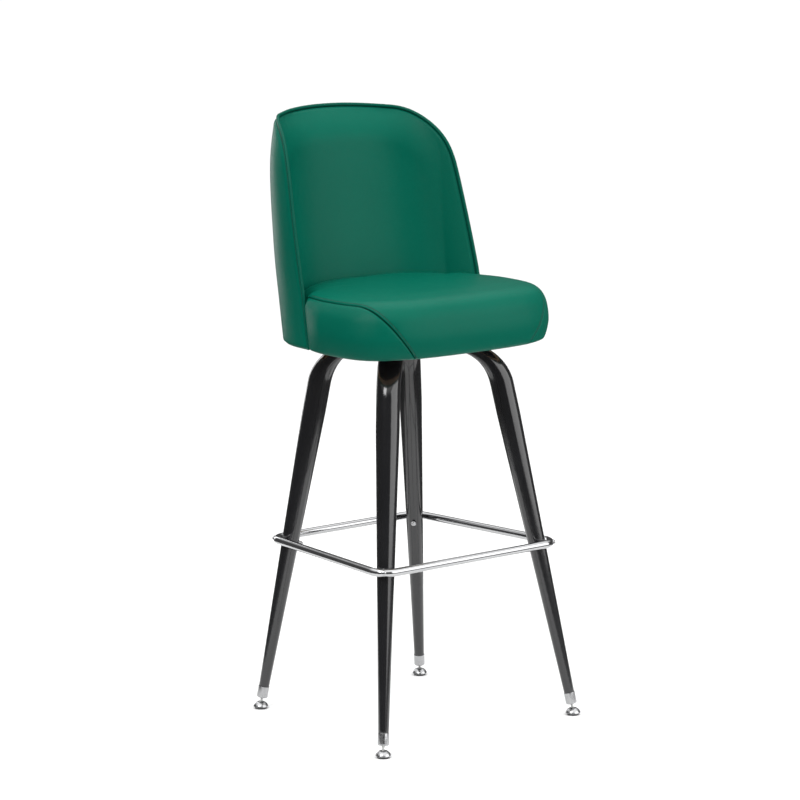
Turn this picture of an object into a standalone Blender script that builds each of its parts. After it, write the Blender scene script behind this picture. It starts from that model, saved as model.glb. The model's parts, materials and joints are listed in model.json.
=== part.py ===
"""Swivel bar stool: an upholstered bucket seat that turns freely on four splayed tube legs.

Metres, +Z up, the stool's front towards -Y. The stool is modelled round its swivel axis, under an
empty that sets the middle of its outline on the world's origin, with the floor at z = 0.
"""

import math

import bmesh
import bpy
import numpy as np
from mathutils import Vector

# General fits
GAP = 0.0003  # between pieces that touch
OVERRUN = 0.004  # how far a cutter runs past what it cuts
TUBE_WALL = 0.0014
SCREW_MERGE = 0.00001

# Legs stand on the diagonals. The front pair is splayed further than the rear pair.
FOOT_REACH = {"front": 0.3073, "rear": 0.2623}  # from the swivel axis to a glide's middle
KNEE_REACH = {"front": 0.1678, "rear": 0.1327}  # where a leg's straight part would meet its flat end

# Glides
BALL_HEIGHT = 0.0085
BALL_RADIUS = 0.0045
BALL_CLEARANCE = 0.0003
NECK_RADIUS = 0.0020
THREAD_RADIUS = 0.0030
THREAD_START = 0.0100  # along the leg's axis, from the ball
THREAD_END = 0.0400
THREAD_CHAMFER = 0.0010
CUP_RADIUS = 0.0138
CUP_HOLE_RADIUS = 0.0040
CUP_TOP = 0.0042  # above the ball's middle
CUP_RIM_DROP = 0.0050  # below the ball's middle
CUP_WALL = 0.0010
CUP_STEPS = 12
PAD_RADIUS = 0.0108
PAD_INNER_RADIUS = 0.0118
# Profiles as (share of radius, share of height), down the outer side
CUP_DOME_SHARES = ((0.42, 1.0), (0.64, 0.62), (0.85, -0.05))
CUP_SKIRT_SHARES = ((0.97, 0.60), (1, 1))
CUP_LINING_SHARES = ((1, 1), (0.96, 0.62), (0.78, 0.38))
PAD_SHARES = ((0.78, 0.48), (1, 0.74), (1, 1))

# Ferrules, on the legs' lower ends
FERRULE_RADIUS = 0.0100
FERRULE_START = 0.0123  # along the leg's axis, from the ball
FERRULE_END = 0.0338
FERRULE_FLOOR = 0.0055
FERRULE_EDGE = 0.0022
SPIGOT_RADIUS = 0.0086
SPIGOT_CLEARANCE = 0.0003

# Legs: tapered tube, bent inwards at the top and pressed flat under the swivel
LEG_FOOT_RADIUS = 0.0093
LEG_TOP_RADIUS = 0.0207
LEG_TAPER_DROP = 0.1215  # from the flat end down to where the tube has its full width
LEG_RUN_HEIGHT = 0.6715
LEG_RUN_END = 0.038  # from the swivel axis to the flat end
LEG_BEND_RADIUS = 0.086
LEG_RUN_HALF_THICKNESS = 0.0075
LEG_RUN_HALF_WIDTH = 0.0225
LEG_SIDES = 12
LEG_BEND_STEPS = 5
LEG_SECTION_POWERS = (2.0, 5.0)  # superellipse of the round tube and of the pressed end

# Footring
RING_HEIGHT = 0.3164
RING_TUBE_RADIUS = 0.0071
RING_CORNER_RADIUS = 0.030
RING_BOLT_RADIUS = 0.0025
RING_HOLE_CLEARANCE = 0.0004
RING_BOLT_HEAD_RADIUS = 0.0045
RING_BOLT_HEAD_HEIGHT = 0.0028
CAP_NUT_RADIUS = 0.0050
CAP_NUT_HEIGHT = 0.0080
CAP_NUT_FLATS_HEIGHT = 0.0040
CAP_NUT_FLOOR = 0.0009
RING_CORNER_STEPS = 6
RING_BOLT_HEAD_SHARES = ((0, 1), (0.55, 0.86), (0.88, 0.50), (1, 0))
CAP_NUT_DOME_SHARES = ((0.76, 0.50), (0.66, 0.80), (0.36, 0.97), (0, 1))

# Swivel: two pressed plates with a ball race between them
PLATE_HALF_SIDE = 0.0650
PLATE_THICKNESS = 0.0030
PLATE_CORNER = 0.012
PLATE_CORNER_STEPS = 3
PLATE_CORNER_SHARE = 0.5  # roundness of the plate's corners
RACE_BALL_RADIUS = 0.0040
RACE_RADIUS = 0.0330
RACE_RIB_WIDTH = 0.0022
RACE_RIB_HEIGHT = 0.0024
RACE_BALL_COUNT = 8
CAGE_HALF_WIDTH = 0.0016
CAGE_HALF_HEIGHT = 0.0008
RIVET_RADIUS = 0.0100
RIVET_BORE = 0.0060
RIVET_FLANGE_RADIUS = 0.0145
RIVET_FLANGE = 0.0018
RIVET_CLEARANCE = 0.0003

# Plate bolts and seat screws
LEG_BOLT_PLACES = (0.0460, 0.0580)  # from the swivel axis, along each leg's run
LEG_BOLT_RADIUS = 0.0030
LEG_BOLT_HEAD_RADIUS = 0.0054
LEG_BOLT_HEAD_HEIGHT = 0.0028
LEG_BOLT_END = 0.0020  # above the lower plate
SEAT_SCREW_REACH = 0.0560  # in x and in y, from the swivel axis
SEAT_SCREW_RADIUS = 0.0022
SEAT_SCREW_HEAD_RADIUS = 0.0044
SEAT_SCREW_HEAD_HEIGHT = 0.0024
SEAT_SCREW_LENGTH = 0.0120
SCREW_CLEARANCE = 0.0004
HEAD_TOP_SHARE = 0.70  # of a bolt's or screw's head radius

# Seat board and the hoop under it
BOARD_THICKNESS = 0.0150
BOARD_HOLE_RADIUS = 0.0200
DUST_COVER_THICKNESS = 0.0008
DUST_COVER_HOLE_RADIUS = 0.1040
SHELL_SCREW_LENGTH = 0.0240

# Upholstery
COVER = 0.0020  # vinyl on its backing cloth
SEAM_GAP = 0.0009
SKIRT_RISE = 0.0111  # of the seat's lowest edge above the legs' flat ends
SEAT_HALF_WIDTH = 0.2175
SEAT_REACH = 0.2145  # from the swivel axis to the lower front edge
SEAT_WIDEST_Y = -0.0600
SEAT_FRONT_POWER = 3.3
SEAT_EDGE_RISE = 0.0932  # above the skirt, of the seam along the top of the sides
SEAM_START_X = 0.1280  # on the lower front edge
SEAM_END_X = 0.2100  # where the seam has reached its height
SEAM_POWER = 1.5
# Rows of the seat's cover: inset from the lower edge's outline, and rise above the skirt
SEAT_ROWS = (
    (0.0180, 0),
    (0.0055, 0.0004),
    (-0.0010, 0.0074),
    (-0.0068, 0.0354),
    (-0.0042, 0.0654),
    (0.0024, 0.0824),
    (0.0110, 0.0924),
    (0.0260, 0.0994),
    (0.0550, 0.1036),
)
SEAT_FOOT_COUNT = 1  # rows of it that are the turned-under edge
SEAT_CROWN_RISE = 0.1064  # above the skirt
SEAT_CENTRE_Y = -0.0400
CROWN_SHARES = (0.70, 0.36)
SEAM_TIP = 0.0060  # how far the sides' covers run at the seam's foot
SEAT_WAIST_X = 0.2040  # the seat's half width where it meets the wings
# Points round which the seat's outline steps in behind the wings: in from its waist, and back
SEAT_TUCK = ((0.0100, 0.0010), (0.0270, 0.0090))
SEAT_TUCK_RUN = 0.0140  # from the wings' edge to where the seat lies against the back
SEAT_BACK_GAP = 0.0035  # between the seat and the back's inside cover
SEAT_TUCK_RISE = 0.0774  # above the skirt: how low the top cover is tucked between seat and back
CUSHION_CLEARANCE = 0.0056
SIDE_COVER_COUNT = 6  # rows of SEAT_ROWS that the sides' covers are lofted through
SEAT_SIDE_POWER = 1.6  # of the sides between the widest place and the wings
SEAT_PROFILE_STEPS = 8  # between two of SEAT_ROWS
SEAT_COUNTS = (12, 2, 2, 6)  # columns of the half outline: front, side, tuck and rear

# Back: one curved wall whose outer face is a U in plan, with a rolled edge and a welt on it
WING_FOOT_Y = 0.0067
WING_FOOT_SLOPE = 0.16  # run per rise, up to the seat's height
WING_SLOPE = 0.257  # run per rise, above the seat
WING_FOOT_X = 0.2014
WING_CORNER_X = 0.1920  # where the edge starts to turn in
WING_X_POWER = 1.5
WING_SEAT_RISE = 0.0974  # above the skirt, to where the wings lean further back
WING_RISE = 0.1700  # from there to the corner
TOP_END_X = 0.1318  # where the top edge starts
CORNER_RISE = 0.1255  # from the wings to the top edge's ends
TOP_CORNER_POWER = 4.0
CROWN_RISE = 0.0080  # from there to the top edge's middle
BACK_REAR_FOOT = 0.1902  # from the swivel axis to the outer face, at the skirt
BACK_REAR_TOP = 0.2252
BACK_REAR_POWER = 2.2
BACK_PLAN_POWER = 2.3
BACK_CENTRE_Y = 0.0300  # depths into the back run towards this line
BACK_TOP_PLAN_POWER = 1.30
BACK_TOP_PLAN_CLIMB = 3.0
BACK_TOP_SET = 0.0070  # how far the outer face turns forwards again under its top edge
BACK_TOP_SET_RISE = 0.0560
TOP_END_Y = 0.1720  # where the top edge starts
TOP_MIDDLE_Y = 0.2182
TOP_EDGE_POWER = 1.15
BACK_DEPTH_SEAT = 0.0600  # wall at the middle, at the seat
BACK_DEPTH_TOP = 0.0360
BACK_DEPTH_WING = 0.0240
BACK_DEPTH_RISE_POWER = 0.45
BACK_DEPTH_SIDE_POWER = 2.2
BACK_DEPTH_MIDDLE_SHARE = 0.80  # of the run to the wings
BACK_ROLL = 0.0150  # width of the rolled edge
BACK_OUTER_ROLL = 0.0090
BACK_OUTER_ROLL_DEPTH = 0.0030
PAD_CLEARANCE = 0.0022  # between the back's foam and its inside cover
WADDING = 0.0027
SHELL = 0.0090  # bent plywood
WELT_RADIUS = 0.0030
WELT_AHEAD = 0.0038  # of the covers' edge
WING_CLEARANCE = WELT_AHEAD + WELT_RADIUS + COVER / 2
HOOP_RISE = 0.0036  # of the hoop above the skirt's lowest edge
BOARD_INSET = 0.0085
BOARD_CLEARANCE = 0.0008  # from the plywood shell
BOARD_SHOULDER_AHEAD = 0.0150  # of the wings' feet
HOOP_SHARE = 0.97  # of the board's outline
HOOP_OPENING_SHARE = 0.86
DUST_COVER_SHARE = 0.855
# Net of the back: loops inside its edge, levels up its sides, and points round its corners and top
BACK_LOOPS = (0.0006, 0.0035, 0.0080, 0.0150)
INNER_LOOP_COUNT = 2  # loops that the inner layers leave out at the edge
WADDING_RISE = 0.0324  # of the wadding's foot above the skirt
PAD_RISE = 0.0624  # of the foam's foot
BACK_LEVEL_SHARES = (0.12, 0.53)  # of WING_RISE
# Levels that each inner layer leaves out at its foot
SHELL_SKIP_COUNT, WADDING_SKIP_COUNT, PAD_SKIP_COUNT = 1, 2, 3
BACK_CORNER_DEG = (25, 48, 70, 90)
BACK_CORNER_COUNT = 2
BACK_TOP_SHARES = (0.68, 0.34, 0)
INNER_RISE_POWER = 1.3
LEVEL_ROW_COUNT = 3  # rows that stay level, before they bend up into the top edge's shape

# Finishes: base colour, roughness, metallic
FINISHES = {
    "vinyl": ((0.004, 0.130, 0.080), 0.42, 0.0),
    "black_enamel": ((0.008, 0.008, 0.009), 0.22, 0.0),
    "chrome": ((0.85, 0.85, 0.86), 0.08, 1.0),
    "zinc_steel": ((0.55, 0.55, 0.53), 0.35, 1.0),
    "glide_plastic": ((0.030, 0.030, 0.032), 0.50, 0.0),
    "plywood": ((0.480, 0.310, 0.170), 0.70, 0.0),
    "foam": ((0.800, 0.740, 0.560), 0.95, 0.0),
    "cambric": ((0.020, 0.020, 0.020), 0.95, 0.0),
}

# Values that follow from the sizes above
LEG_SLOPE = {
    pair: math.atan((FOOT_REACH[pair] - KNEE_REACH[pair]) / (LEG_RUN_HEIGHT - BALL_HEIGHT))
    for pair in FOOT_REACH
}
LEG_FULL_HEIGHT = LEG_RUN_HEIGHT - LEG_TAPER_DROP
SKIRT_HEIGHT = LEG_RUN_HEIGHT + SKIRT_RISE
SEAT_EDGE_HEIGHT = SKIRT_HEIGHT + SEAT_EDGE_RISE
SEAT_CROWN_HEIGHT = SKIRT_HEIGHT + SEAT_CROWN_RISE
SEAT_TUCK_FOOT = SKIRT_HEIGHT + SEAT_TUCK_RISE
SEAT_SIDE = [(inset, SKIRT_HEIGHT + rise) for inset, rise in SEAT_ROWS]
WING_SEAT_HEIGHT = SKIRT_HEIGHT + WING_SEAT_RISE
WING_CORNER_HEIGHT = WING_SEAT_HEIGHT + WING_RISE
TOP_END_HEIGHT = WING_CORNER_HEIGHT + CORNER_RISE
TOP_HEIGHT = TOP_END_HEIGHT + CROWN_RISE
BACK_LEVELS = (
    SKIRT_HEIGHT,
    SKIRT_HEIGHT + HOOP_RISE,
    SKIRT_HEIGHT + WADDING_RISE,
    SKIRT_HEIGHT + PAD_RISE,
    *(WING_SEAT_HEIGHT + WING_RISE * share for share in BACK_LEVEL_SHARES),
    WING_CORNER_HEIGHT,
)
RUN_TOP = LEG_RUN_HEIGHT + LEG_RUN_HALF_THICKNESS
LOWER_PLATE_Z = RUN_TOP + GAP
LOWER_PLATE_TOP = LOWER_PLATE_Z + PLATE_THICKNESS
RACE_Z = LOWER_PLATE_TOP + GAP + RACE_BALL_RADIUS
UPPER_PLATE_Z = RACE_Z + RACE_BALL_RADIUS + GAP
UPPER_PLATE_TOP = UPPER_PLATE_Z + PLATE_THICKNESS
BOARD_Z = UPPER_PLATE_TOP + GAP
BOARD_TOP = BOARD_Z + BOARD_THICKNESS
HOOP_Z = SKIRT_HEIGHT + HOOP_RISE
WADDING_FACE = COVER + 2 * GAP
SHELL_FACE = WADDING_FACE + WADDING + GAP  # from the back's outer face to the plywood
SHELL_BACK = SHELL_FACE + SHELL  # and to the plywood's inner face
LEG_TURNS = {
    "front_left": math.radians(225),
    "front_right": math.radians(135),
    "rear_right": math.radians(45),
    "rear_left": math.radians(-45),
}


# Blender helpers
def fresh_scene():
    """Removes what the scene holds and makes the collections for the stool and its cutters."""
    for old in list(bpy.data.objects):
        bpy.data.objects.remove(old)
    for name in ("bar_stool", "cutters"):
        bpy.context.scene.collection.children.link(bpy.data.collections.new(name))
    bpy.data.collections["cutters"].hide_render = True


def finish(name):
    """The named finish as a material, made on first use."""
    if name in bpy.data.materials:
        return bpy.data.materials[name]
    material = bpy.data.materials.new(name)
    material.use_nodes = True
    shader = material.node_tree.nodes["Principled BSDF"]
    colour, roughness, metallic = FINISHES[name]
    shader.inputs["Base Color"].default_value = (*colour, 1)
    shader.inputs["Roughness"].default_value = roughness
    shader.inputs["Metallic"].default_value = metallic
    return material


def empty(name, parent, place=(0, 0, 0), turn=(0, 0, 0)):
    """An empty that carries other objects, at a place and turn in its parent."""
    holder = bpy.data.objects.new(name, None)
    bpy.data.collections["bar_stool"].objects.link(holder)
    holder.parent = parent
    holder.location = place
    holder.rotation_euler = turn
    return holder


def piece(name, mesh, finish_name, parent, place=(0, 0, 0), turn=(0, 0, 0)):
    """An object of the stool, from a mesh."""
    thing = bpy.data.objects.new(name, mesh)
    bpy.data.collections["bar_stool"].objects.link(thing)
    thing.data.materials.clear()
    thing.data.materials.append(finish(finish_name))
    thing.parent = parent
    thing.location = place
    thing.rotation_euler = turn
    return thing


def cutter(name, mesh, parent, place=(0, 0, 0), turn=(0, 0, 0)):
    """A hidden solid that cuts others."""
    thing = bpy.data.objects.new(name, mesh)
    bpy.data.collections["cutters"].objects.link(thing)
    thing.hide_render = True
    thing.display_type = "WIRE"
    thing.parent = parent
    thing.location = place
    thing.rotation_euler = turn
    return thing


def boolean(thing, other, operation="DIFFERENCE"):
    """Cuts the other solid from this one, or joins it on."""
    modifier = thing.modifiers.new(other.name, "BOOLEAN")
    modifier.operation = operation
    modifier.object = other
    modifier.solver = "EXACT"


def smooth(mesh, angle_deg=35):
    """Rounds the shading, with sharp edges kept above the angle."""
    mesh.shade_smooth()
    mesh.set_sharp_from_angle(angle=math.radians(angle_deg))


def cylinder_mesh(name, radius, length, sides=8):
    """A cylinder along Z, its middle on the origin."""
    shape = bmesh.new()
    bmesh.ops.create_cone(
        shape, cap_ends=True, segments=sides, radius1=radius, radius2=radius, depth=length
    )
    mesh = bpy.data.meshes.new(name)
    shape.to_mesh(mesh)
    shape.free()
    smooth(mesh)
    return mesh


def prism_mesh(name, outline, bottom, top, hole=None):
    """An upright prism over a plan outline, with a hole of another outline if given."""
    shape = bmesh.new()
    loops = [outline] if hole is None else [outline, hole]
    edges = []
    for loop in loops:
        corners = [shape.verts.new((x, y, bottom)) for x, y in loop]
        edges += [
            shape.edges.new((first, second))
            for first, second in zip(corners, corners[1:] + corners[:1])
        ]
    bmesh.ops.triangle_fill(shape, use_beauty=True, edges=edges)
    base = shape.faces[:]
    raised = bmesh.ops.extrude_face_region(shape, geom=base)["geom"]
    raised_corners = [item for item in raised if isinstance(item, bmesh.types.BMVert)]
    bmesh.ops.translate(shape, verts=raised_corners, vec=(0, 0, top - bottom))
    bmesh.ops.recalc_face_normals(shape, faces=shape.faces[:])
    mesh = bpy.data.meshes.new(name)
    shape.to_mesh(mesh)
    shape.free()
    return mesh


def turned(name, profile, finish_name, parent, place=(0, 0, 0), turn=(0, 0, 0), steps=16):
    """A turned piece: a profile of (radius, height) points, down its outer side, on a Screw.

    A profile that starts and ends on the axis is left open there; any other is closed.
    """
    shape = bmesh.new()
    corners = [shape.verts.new((radius, 0, height)) for radius, height in profile]
    ends = list(zip(corners, corners[1:]))
    if profile[0][0] > 0:
        ends.append((corners[-1], corners[0]))
    for first, second in ends:
        shape.edges.new((first, second))
    mesh = bpy.data.meshes.new(name)
    shape.to_mesh(mesh)
    shape.free()
    thing = piece(name, mesh, finish_name, parent, place, turn)
    screw = thing.modifiers.new("turn", "SCREW")
    screw.axis = "Z"
    screw.steps = screw.render_steps = steps
    screw.use_merge_vertices = True
    screw.merge_threshold = SCREW_MERGE
    screw.use_smooth_shade = True
    return thing


def split_quads(quads):
    """Each quad as two triangles, split the same way so that layers stay parallel."""
    triangles = np.concatenate([quads[:, [0, 1, 2]], quads[:, [0, 2, 3]]])
    return triangles[triangles[:, 1] != triangles[:, 2]]


def faces_mesh(name, points, quads):
    """A mesh from points and quads; a quad whose last two points are one is a triangle."""
    mesh = bpy.data.meshes.new(name)
    mesh.from_pydata(np.asarray(points).tolist(), [], split_quads(quads).tolist())
    return mesh


def sheet_mesh(name, rows, around=False):
    """An open sheet lofted through rows of points; around joins each row's ends."""
    rows = np.asarray(rows, float)
    index = np.arange(rows.shape[0] * rows.shape[1]).reshape(rows.shape[:2])
    right = np.roll(index, -1, axis=1)
    if not around:
        index, right = index[:, :-1], right[:, :-1]
    quads = np.stack([index[:-1], right[:-1], right[1:], index[1:]], axis=-1).reshape(-1, 4)
    return faces_mesh(name, rows.reshape(-1, 3), quads)


def solid_mesh(name, near, far, quads):
    """A closed solid between two nets of the same quads, walled round their edge."""
    count = len(near)
    triangles = split_quads(quads)
    ends = np.concatenate([triangles[:, [0, 1]], triangles[:, [1, 2]], triangles[:, [2, 0]]])
    used = {tuple(end) for end in ends.tolist()}
    rim = np.array([end for end in used if (end[1], end[0]) not in used])
    walls = np.concatenate(
        [
            np.column_stack([rim[:, 1], rim[:, 0], rim[:, 0] + count]),
            np.column_stack([rim[:, 1], rim[:, 0] + count, rim[:, 1] + count]),
        ]
    )
    faces = np.concatenate([triangles, triangles[:, ::-1] + count, walls])
    mesh = bpy.data.meshes.new(name)
    mesh.from_pydata(np.concatenate([near, far]).tolist(), [], faces.tolist())
    shape = bmesh.new()
    shape.from_mesh(mesh)
    bmesh.ops.recalc_face_normals(shape, faces=shape.faces[:])
    shape.to_mesh(mesh)
    shape.free()
    smooth(mesh, 60)
    return mesh


def solidify(thing, thickness, inward=True):
    """Gives a sheet its wall, behind its faces or in front of them."""
    wall = thing.modifiers.new("wall", "SOLIDIFY")
    wall.thickness = thickness
    wall.offset = -1 if inward else 1
    wall.use_even_offset = True
    wall.use_quality_normals = True


# Legs
def pair_of(side):
    """front or rear."""
    return side.split("_")[0]


def leg_slope(side):
    return LEG_SLOPE[pair_of(side)]


def leg_axis_reach(side, height):
    """Distance of a leg's straight axis from the swivel axis, at a height."""
    return FOOT_REACH[pair_of(side)] - math.tan(leg_slope(side)) * (height - BALL_HEIGHT)


def leg_radius(side, height):
    """Outer radius of the tapered tube at a height."""
    foot = BALL_HEIGHT + FERRULE_END * math.cos(leg_slope(side))
    share = min(max((height - foot) / (LEG_FULL_HEIGHT - foot), 0), 1)
    return LEG_FOOT_RADIUS + (LEG_TOP_RADIUS - LEG_FOOT_RADIUS) * share


def leg_stations(side):
    """Sections along a leg: (reach, height, lean from upright, half thickness, half width)."""
    slope = leg_slope(side)
    start = FERRULE_START + FERRULE_FLOOR + GAP
    step = FERRULE_END + GAP

    def on_axis(along):
        reach = FOOT_REACH[pair_of(side)] - math.sin(slope) * along
        return reach, BALL_HEIGHT + math.cos(slope) * along

    full_reach = leg_axis_reach(side, LEG_FULL_HEIGHT)
    stations = [
        (*on_axis(start), slope, SPIGOT_RADIUS, SPIGOT_RADIUS),
        (*on_axis(step), slope, SPIGOT_RADIUS, SPIGOT_RADIUS),
        (*on_axis(step + GAP), slope, LEG_FOOT_RADIUS, LEG_FOOT_RADIUS),
        (full_reach, LEG_FULL_HEIGHT, slope, LEG_TOP_RADIUS, LEG_TOP_RADIUS),
    ]
    turn = math.pi / 2 - slope
    tangent = LEG_BEND_RADIUS * math.tan(turn / 2)
    middle = leg_axis_reach(side, LEG_RUN_HEIGHT) - tangent
    for number in range(LEG_BEND_STEPS + 1):
        share = number / LEG_BEND_STEPS
        lean = slope + turn * share
        pressed = share * share * (3 - 2 * share)
        stations.append(
            (
                middle + LEG_BEND_RADIUS * math.cos(lean),
                LEG_RUN_HEIGHT - LEG_BEND_RADIUS + LEG_BEND_RADIUS * math.sin(lean),
                lean,
                LEG_TOP_RADIUS + (LEG_RUN_HALF_THICKNESS - LEG_TOP_RADIUS) * pressed,
                LEG_TOP_RADIUS + (LEG_RUN_HALF_WIDTH - LEG_TOP_RADIUS) * pressed,
            )
        )
    end = (LEG_RUN_END, LEG_RUN_HEIGHT, math.pi / 2, LEG_RUN_HALF_THICKNESS, LEG_RUN_HALF_WIDTH)
    return [*stations, end]


def leg_mesh(side):
    """The leg's outer surface, in its own plane: +Y away from the swivel axis."""
    rows = []
    round_power, flat_power = LEG_SECTION_POWERS
    for reach, height, lean, half_thickness, half_width in leg_stations(side):
        flat = (LEG_TOP_RADIUS - half_thickness) / (LEG_TOP_RADIUS - LEG_RUN_HALF_THICKNESS)
        flat = flat if height > LEG_FULL_HEIGHT else 0
        power = round_power + (flat_power - round_power) * max(flat, 0) ** 2
        turns = np.arange(LEG_SIDES) * 2 * math.pi / LEG_SIDES
        across = half_width * np.sign(np.cos(turns)) * np.abs(np.cos(turns)) ** (2 / power)
        through = half_thickness * np.sign(np.sin(turns)) * np.abs(np.sin(turns)) ** (2 / power)
        rows.append(
            np.stack(
                [
                    across,
                    reach + through * math.cos(lean),
                    height + through * math.sin(lean),
                ],
                axis=-1,
            )
        )
    mesh = sheet_mesh("leg", rows, around=True)
    smooth(mesh, 50)
    return mesh


def ring_bolt_place(side):
    """Where the footring's bolt crosses a leg's axis, as (reach, height), and how far out it runs.

    The bolt is square to the leg, so it starts a little lower than the footring.
    """
    out = leg_radius(side, RING_HEIGHT) + 2 * GAP + RING_TUBE_RADIUS
    height = RING_HEIGHT - out * math.sin(leg_slope(side))
    return leg_axis_reach(side, height), height, out


def make_legs(base):
    """The four legs, each in the frame of its turn about the swivel axis."""
    for side, angle in LEG_TURNS.items():
        slope = leg_slope(side)
        frame = empty(f"frame_{side}", base, turn=(0, 0, -angle))
        leg = piece(f"leg_{side}", leg_mesh(side), "black_enamel", frame)
        solidify(leg, TUBE_WALL)
        reach, height, _ = ring_bolt_place(side)
        drill = cutter(
            f"ring_bolt_hole_{side}",
            cylinder_mesh(
                "drill", RING_BOLT_RADIUS + RING_HOLE_CLEARANCE, LEG_TOP_RADIUS * 2 + OVERRUN
            ),
            frame,
            place=(0, reach, height),
            turn=(slope - math.pi / 2, 0, 0),
        )
        boolean(leg, drill)
        for number, reach in enumerate(LEG_BOLT_PLACES):
            drill = cutter(
                f"leg_bolt_hole_{side}_{number + 1}",
                cylinder_mesh(
                    "drill",
                    LEG_BOLT_RADIUS + SCREW_CLEARANCE,
                    LEG_RUN_HALF_THICKNESS * 2 + OVERRUN,
                ),
                frame,
                place=(0, reach, LEG_RUN_HEIGHT),
            )
            boolean(leg, drill)


def frame_of(side):
    return bpy.data.objects[f"frame_{side}"]


# Feet
def sphere_profile(radius, start_deg, end_deg, count):
    """Points of an arc about the origin, from one angle above the level to another."""
    angles = np.radians(np.linspace(start_deg, end_deg, count))
    return [(radius * math.cos(angle), radius * math.sin(angle)) for angle in angles]


def shared(shares, radius, height):
    """Profile points from shares of a radius and of a height."""
    return [(radius * across, height * up) for across, up in shares]


def make_feet():
    """Ferrule, threaded stem, chromed cup and plastic pad at each leg's foot."""
    for side in LEG_TURNS:
        frame = frame_of(side)
        ball_place = (0, FOOT_REACH[pair_of(side)], BALL_HEIGHT)
        along_leg = empty(f"glide_axis_{side}", frame, ball_place, (leg_slope(side), 0, 0))
        make_ferrule(side, along_leg)
        make_stem(side, along_leg)
        level = empty(f"foot_frame_{side}", frame, ball_place)
        make_cup(side, level)
        make_pad(side, level)


def make_ferrule(side, parent):
    """A chromed sleeve over the leg's spigot, with a threaded floor for the stem."""
    bore = SPIGOT_RADIUS + SPIGOT_CLEARANCE
    hole = THREAD_RADIUS + GAP
    floor = FERRULE_START + FERRULE_FLOOR
    profile = [
        (FERRULE_RADIUS, FERRULE_END),
        (FERRULE_RADIUS, FERRULE_START + FERRULE_EDGE),
        (FERRULE_RADIUS - FERRULE_EDGE / 3, FERRULE_START + FERRULE_EDGE / 3),
        (FERRULE_RADIUS - FERRULE_EDGE, FERRULE_START),
        (hole, FERRULE_START),
        (hole, floor),
        (bore, floor),
        (bore, FERRULE_END),
    ]
    turned(f"ferrule_{side}", profile, "chrome", parent, steps=12)


def make_stem(side, parent):
    """The levelling screw, with the ball that the foot tilts on."""
    neck_angle = math.degrees(math.acos(NECK_RADIUS / BALL_RADIUS))
    ball = sphere_profile(BALL_RADIUS, neck_angle, -90, 5)
    ball[-1] = (0, -BALL_RADIUS)
    profile = [
        (0, THREAD_END),
        (THREAD_RADIUS - THREAD_CHAMFER, THREAD_END),
        (THREAD_RADIUS, THREAD_END - THREAD_CHAMFER),
        (THREAD_RADIUS, THREAD_START),
        (NECK_RADIUS, THREAD_START - THREAD_CHAMFER),
        *ball,
    ]
    turned(f"glide_stem_{side}", profile, "zinc_steel", parent, steps=8)


def make_cup(side, parent):
    """The chromed cap that holds the ball down on the pad."""
    socket = BALL_RADIUS + BALL_CLEARANCE
    hole_angle = math.degrees(math.acos(CUP_HOLE_RADIUS / socket))
    inside = sphere_profile(socket, -12, hole_angle, 3)
    profile = [
        (CUP_HOLE_RADIUS, CUP_TOP),
        *shared(CUP_DOME_SHARES, CUP_RADIUS, CUP_TOP),
        *shared(CUP_SKIRT_SHARES, CUP_RADIUS, -CUP_RIM_DROP),
        *shared(CUP_LINING_SHARES, CUP_RADIUS - CUP_WALL, -CUP_RIM_DROP),
        *inside,
    ]
    turned(f"glide_cup_{side}", profile, "chrome", parent, steps=CUP_STEPS)


def make_pad(side, parent):
    """The plastic pad that the stool stands on, with a hollow for the ball."""
    socket = BALL_RADIUS + BALL_CLEARANCE
    hollow = sphere_profile(socket, -90, -30, 4)
    hollow[0] = (0, -socket)
    outside = shared(PAD_SHARES, PAD_INNER_RADIUS, -CUP_RIM_DROP)
    profile = [
        *hollow,
        (hollow[-1][0] + GAP, outside[0][1]),
        *outside,
        (PAD_RADIUS, -CUP_RIM_DROP - CUP_WALL / 2),
        (PAD_RADIUS, -BALL_HEIGHT),
        (0, -BALL_HEIGHT),
    ]
    turned(f"glide_pad_{side}", profile, "glide_plastic", parent, steps=12)


# Footring
def ring_path():
    """Middle line of the footring: straight sides, with an arc about a point at each leg."""
    centres = []
    for side, angle in LEG_TURNS.items():
        reach, _, out = ring_bolt_place(side)
        middle = reach + out * math.cos(leg_slope(side)) - RING_CORNER_RADIUS
        centres.append(Vector((math.sin(angle), math.cos(angle))) * middle)
    points = []
    for number, centre in enumerate(centres):
        before = centre - centres[number - 1]
        after = centres[(number + 1) % len(centres)] - centre
        first, last = (math.atan2(-side.x, side.y) for side in (before, after))
        turn = (last - first + math.pi) % (2 * math.pi) - math.pi
        for step in range(RING_CORNER_STEPS + 1):
            angle = first + turn * step / RING_CORNER_STEPS
            outward = Vector((math.cos(angle), math.sin(angle)))
            points.append(centre + outward * RING_CORNER_RADIUS)
    return points


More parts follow.
